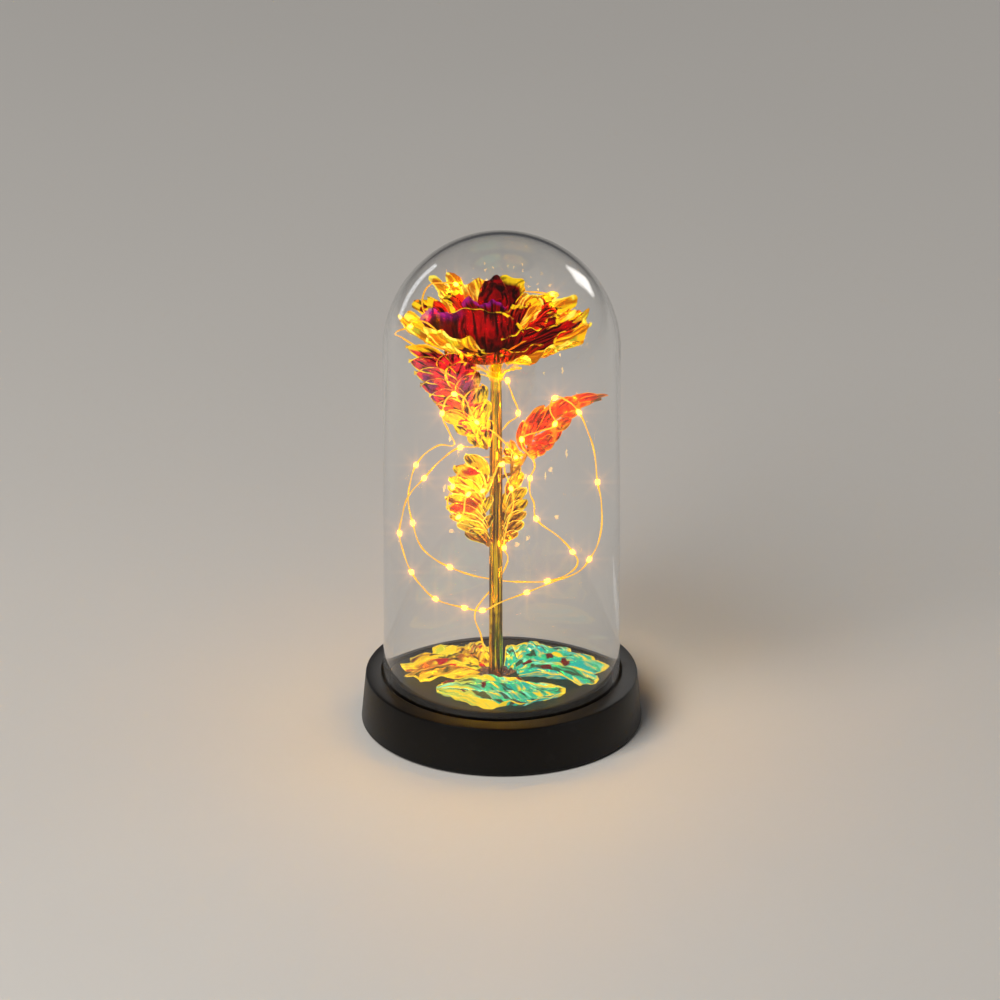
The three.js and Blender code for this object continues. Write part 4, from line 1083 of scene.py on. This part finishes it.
bpy.ops.object.transform_apply(location=True, rotation=True, scale=True)
lights = joined(beads, "string_lights")
smoothed(lights, 60)
lamp.on(lights)
wire.name = "string_wire"
for piece in (wire, lights):
    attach(piece, "root")
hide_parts("light_string")


# Dome: one blown glass bell with a straight wall and a half round top. Its open end is melted to a rounded
# lip, which stands in the groove of the base.
DOME_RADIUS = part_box("glass_dome")[1].x
DOME_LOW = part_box("glass_dome")[0].z
DOME_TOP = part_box("glass_dome")[1].z
DOME_WALL = 0.0018
LIP_STEPS = 8
DOME_STEPS = 40
DOME_FACETS = 200


def arc(middle_radius, middle_height, radius, start, end, steps):
    """Points round an arc, from start to end in degrees from the horizontal."""
    turns = [math.radians(start + (end - start) * k / steps) for k in range(steps + 1)]
    return [(middle_radius + radius * math.cos(t), middle_height + radius * math.sin(t)) for t in turns]


lip = DOME_WALL / 2
shoulder = DOME_TOP - DOME_RADIUS
dome_outline = [
    *arc(0, shoulder, DOME_RADIUS, 90, 0, DOME_STEPS),
    *arc(DOME_RADIUS - lip, DOME_LOW + lip, lip, 0, -180, LIP_STEPS),
    *arc(0, shoulder, DOME_RADIUS - DOME_WALL, 0, 90, DOME_STEPS),
]
dome = turned("dome", dome_outline, DOME_FACETS)
smoothed(dome, 180)
glass = Finish("clear_glass", transmission_weight=1.0, ior=1.46, roughness=0.0)
glass.feed(base_color=glass.mixed(glass.noise(8, 1), color(1, 1, 1), color(0.985, 0.995, 0.99)))
glass.raised(glass.noise(14, 1), 0.0004)
shadow = glass.node("ShaderNodeLightPath", out="Is Shadow Ray")
clear = glass.node("ShaderNodeBsdfTransparent", {}, {"Color": color(0.97, 0.98, 0.98)})
both = glass.node("ShaderNodeMixShader", {}, {0: shadow, 1: Tone(glass, glass.shader.outputs[0]), 2: clear})
glass.tree.links.new(both.socket, glass.tree.nodes["Material Output"].inputs["Surface"])
glass.on(dome)
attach(dome, "root")
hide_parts("glass_dome")


# Studio: a plain pale floor, soft light from large panels, and a long lens that looks down on the piece.
FLOOR_SIZE = 14.0
CAMERA_DISTANCE = 9.0
CAMERA_ELEVATION = 25
CAMERA_TARGET = Vector((-0.00069, 0.0393, 0.0843))
METRES_PER_PIXEL = 0.0004286
PIXELS = 1000
SENSOR = 36.0

bpy.ops.mesh.primitive_plane_add(size=FLOOR_SIZE, location=(0, 0, 0))
floor = bpy.context.object
floor.name = "floor"
floor_paint = Finish("pale_floor", roughness=0.6)
pale = floor_paint.mixed(floor_paint.noise(3, 2), color(0.62, 0.6, 0.57), color(0.66, 0.64, 0.61))
floor_paint.feed(base_color=pale)
floor_paint.on(floor)


def panel(name, place, aim, width, height, power, tint, lean=0, only=None):
    """A soft light panel that faces aim and leans by some degrees. It lights all, or only some pieces."""
    lamp_data = bpy.data.lights.new(name, "AREA")
    lamp_data.shape = "RECTANGLE"
    lamp_data.size = width
    lamp_data.size_y = height
    lamp_data.energy = power
    lamp_data.color = tint
    light = bpy.data.objects.new(name, lamp_data)
    light.location = place
    facing = (Vector(aim) - Vector(place)).to_track_quat("-Z", "Y").to_matrix()
    light.rotation_euler = (facing @ Matrix.Rotation(math.radians(lean), 3, "Z")).to_euler()
    bpy.context.scene.collection.objects.link(light)
    if only:
        lit = bpy.data.collections.new(f"lit_by_{name}")
        for piece in only:
            lit.objects.link(piece)
        light.light_linking.receiver_collection = lit


OBJECT_MIDDLE = (0, 0, 0.12)
WARM_WHITE = (1.0, 0.97, 0.93)
COOL_WHITE = (0.95, 0.97, 1.0)
inside = [piece for piece in bpy.context.scene.objects if piece.type == "MESH" and piece not in (dome, floor)]
panel("floor_panel", (-1.1, -1.3, 1.8), OBJECT_MIDDLE, 1.5, 1.5, 62, WARM_WHITE, only=[floor])
panel("key_panel", (-1.1, -1.3, 1.5), OBJECT_MIDDLE, 1.2, 1.2, 11, WARM_WHITE, only=inside)
panel("fill_panel", (1.7, -0.9, 0.8), OBJECT_MIDDLE, 0.5, 1.6, 6, COOL_WHITE, only=inside)
panel("back_panel", (0.3, 2.0, 1.3), OBJECT_MIDDLE, 1.6, 0.6, 9, WARM_WHITE, only=inside)
panel("left_panel", (-0.96, 1.11, 0.38), (0, 0, 0.18), 0.12, 0.75, 0.8, COOL_WHITE, lean=42)
panel("right_panel", (0.92, 1.12, 0.55), (0, 0, 0.18), 0.35, 0.4, 1.7, WARM_WHITE)

world = bpy.data.worlds.new("studio")
world.use_nodes = True
daylight = world.node_tree.nodes["Background"]
daylight.inputs["Color"].default_value = color(0.9, 0.93, 1.0)
daylight.inputs["Strength"].default_value = 0.07
bpy.context.scene.world = world

elevation = math.radians(CAMERA_ELEVATION)
lens = bpy.data.cameras.new("camera")
lens.sensor_width = SENSOR
lens.lens = SENSOR * CAMERA_DISTANCE / (METRES_PER_PIXEL * PIXELS)
lens.clip_end = 40
camera = bpy.data.objects.new("camera", lens)
camera.location = CAMERA_TARGET + CAMERA_DISTANCE * Vector((0, -math.cos(elevation), math.sin(elevation)))
camera.rotation_euler = (math.pi / 2 - elevation, 0, 0)
bpy.context.scene.collection.objects.link(camera)
bpy.context.scene.camera = camera
bpy.context.scene.view_settings.view_transform = "Standard"

# The lights bloom in the lens.
scene = bpy.context.scene
scene.use_nodes = True
scene.node_tree.nodes.clear()
picture = scene.node_tree.nodes.new("CompositorNodeRLayers")
result = scene.node_tree.nodes.new("CompositorNodeComposite")
image = picture.outputs["Image"]
amber_bloom = color(1.0, 0.5, 0.1)
glares = {
    "BLOOM": dict(Threshold=2.0, Clamp=True, Maximum=40.0, Strength=1.0, Size=0.18, Tint=amber_bloom),
    "STREAKS": dict(Threshold=6.0, Clamp=True, Maximum=40.0, Strength=0.16, Fade=0.8, Streaks=8),
}
for kind, settings in glares.items():
    glare = scene.node_tree.nodes.new("CompositorNodeGlare")
    glare.glare_type = kind
    for socket, value in settings.items():
        glare.inputs[socket].default_value = value
    scene.node_tree.links.new(image, glare.inputs["Image"])
    image = glare.outputs["Image"]
scene.node_tree.links.new(image, result.inputs["Image"])
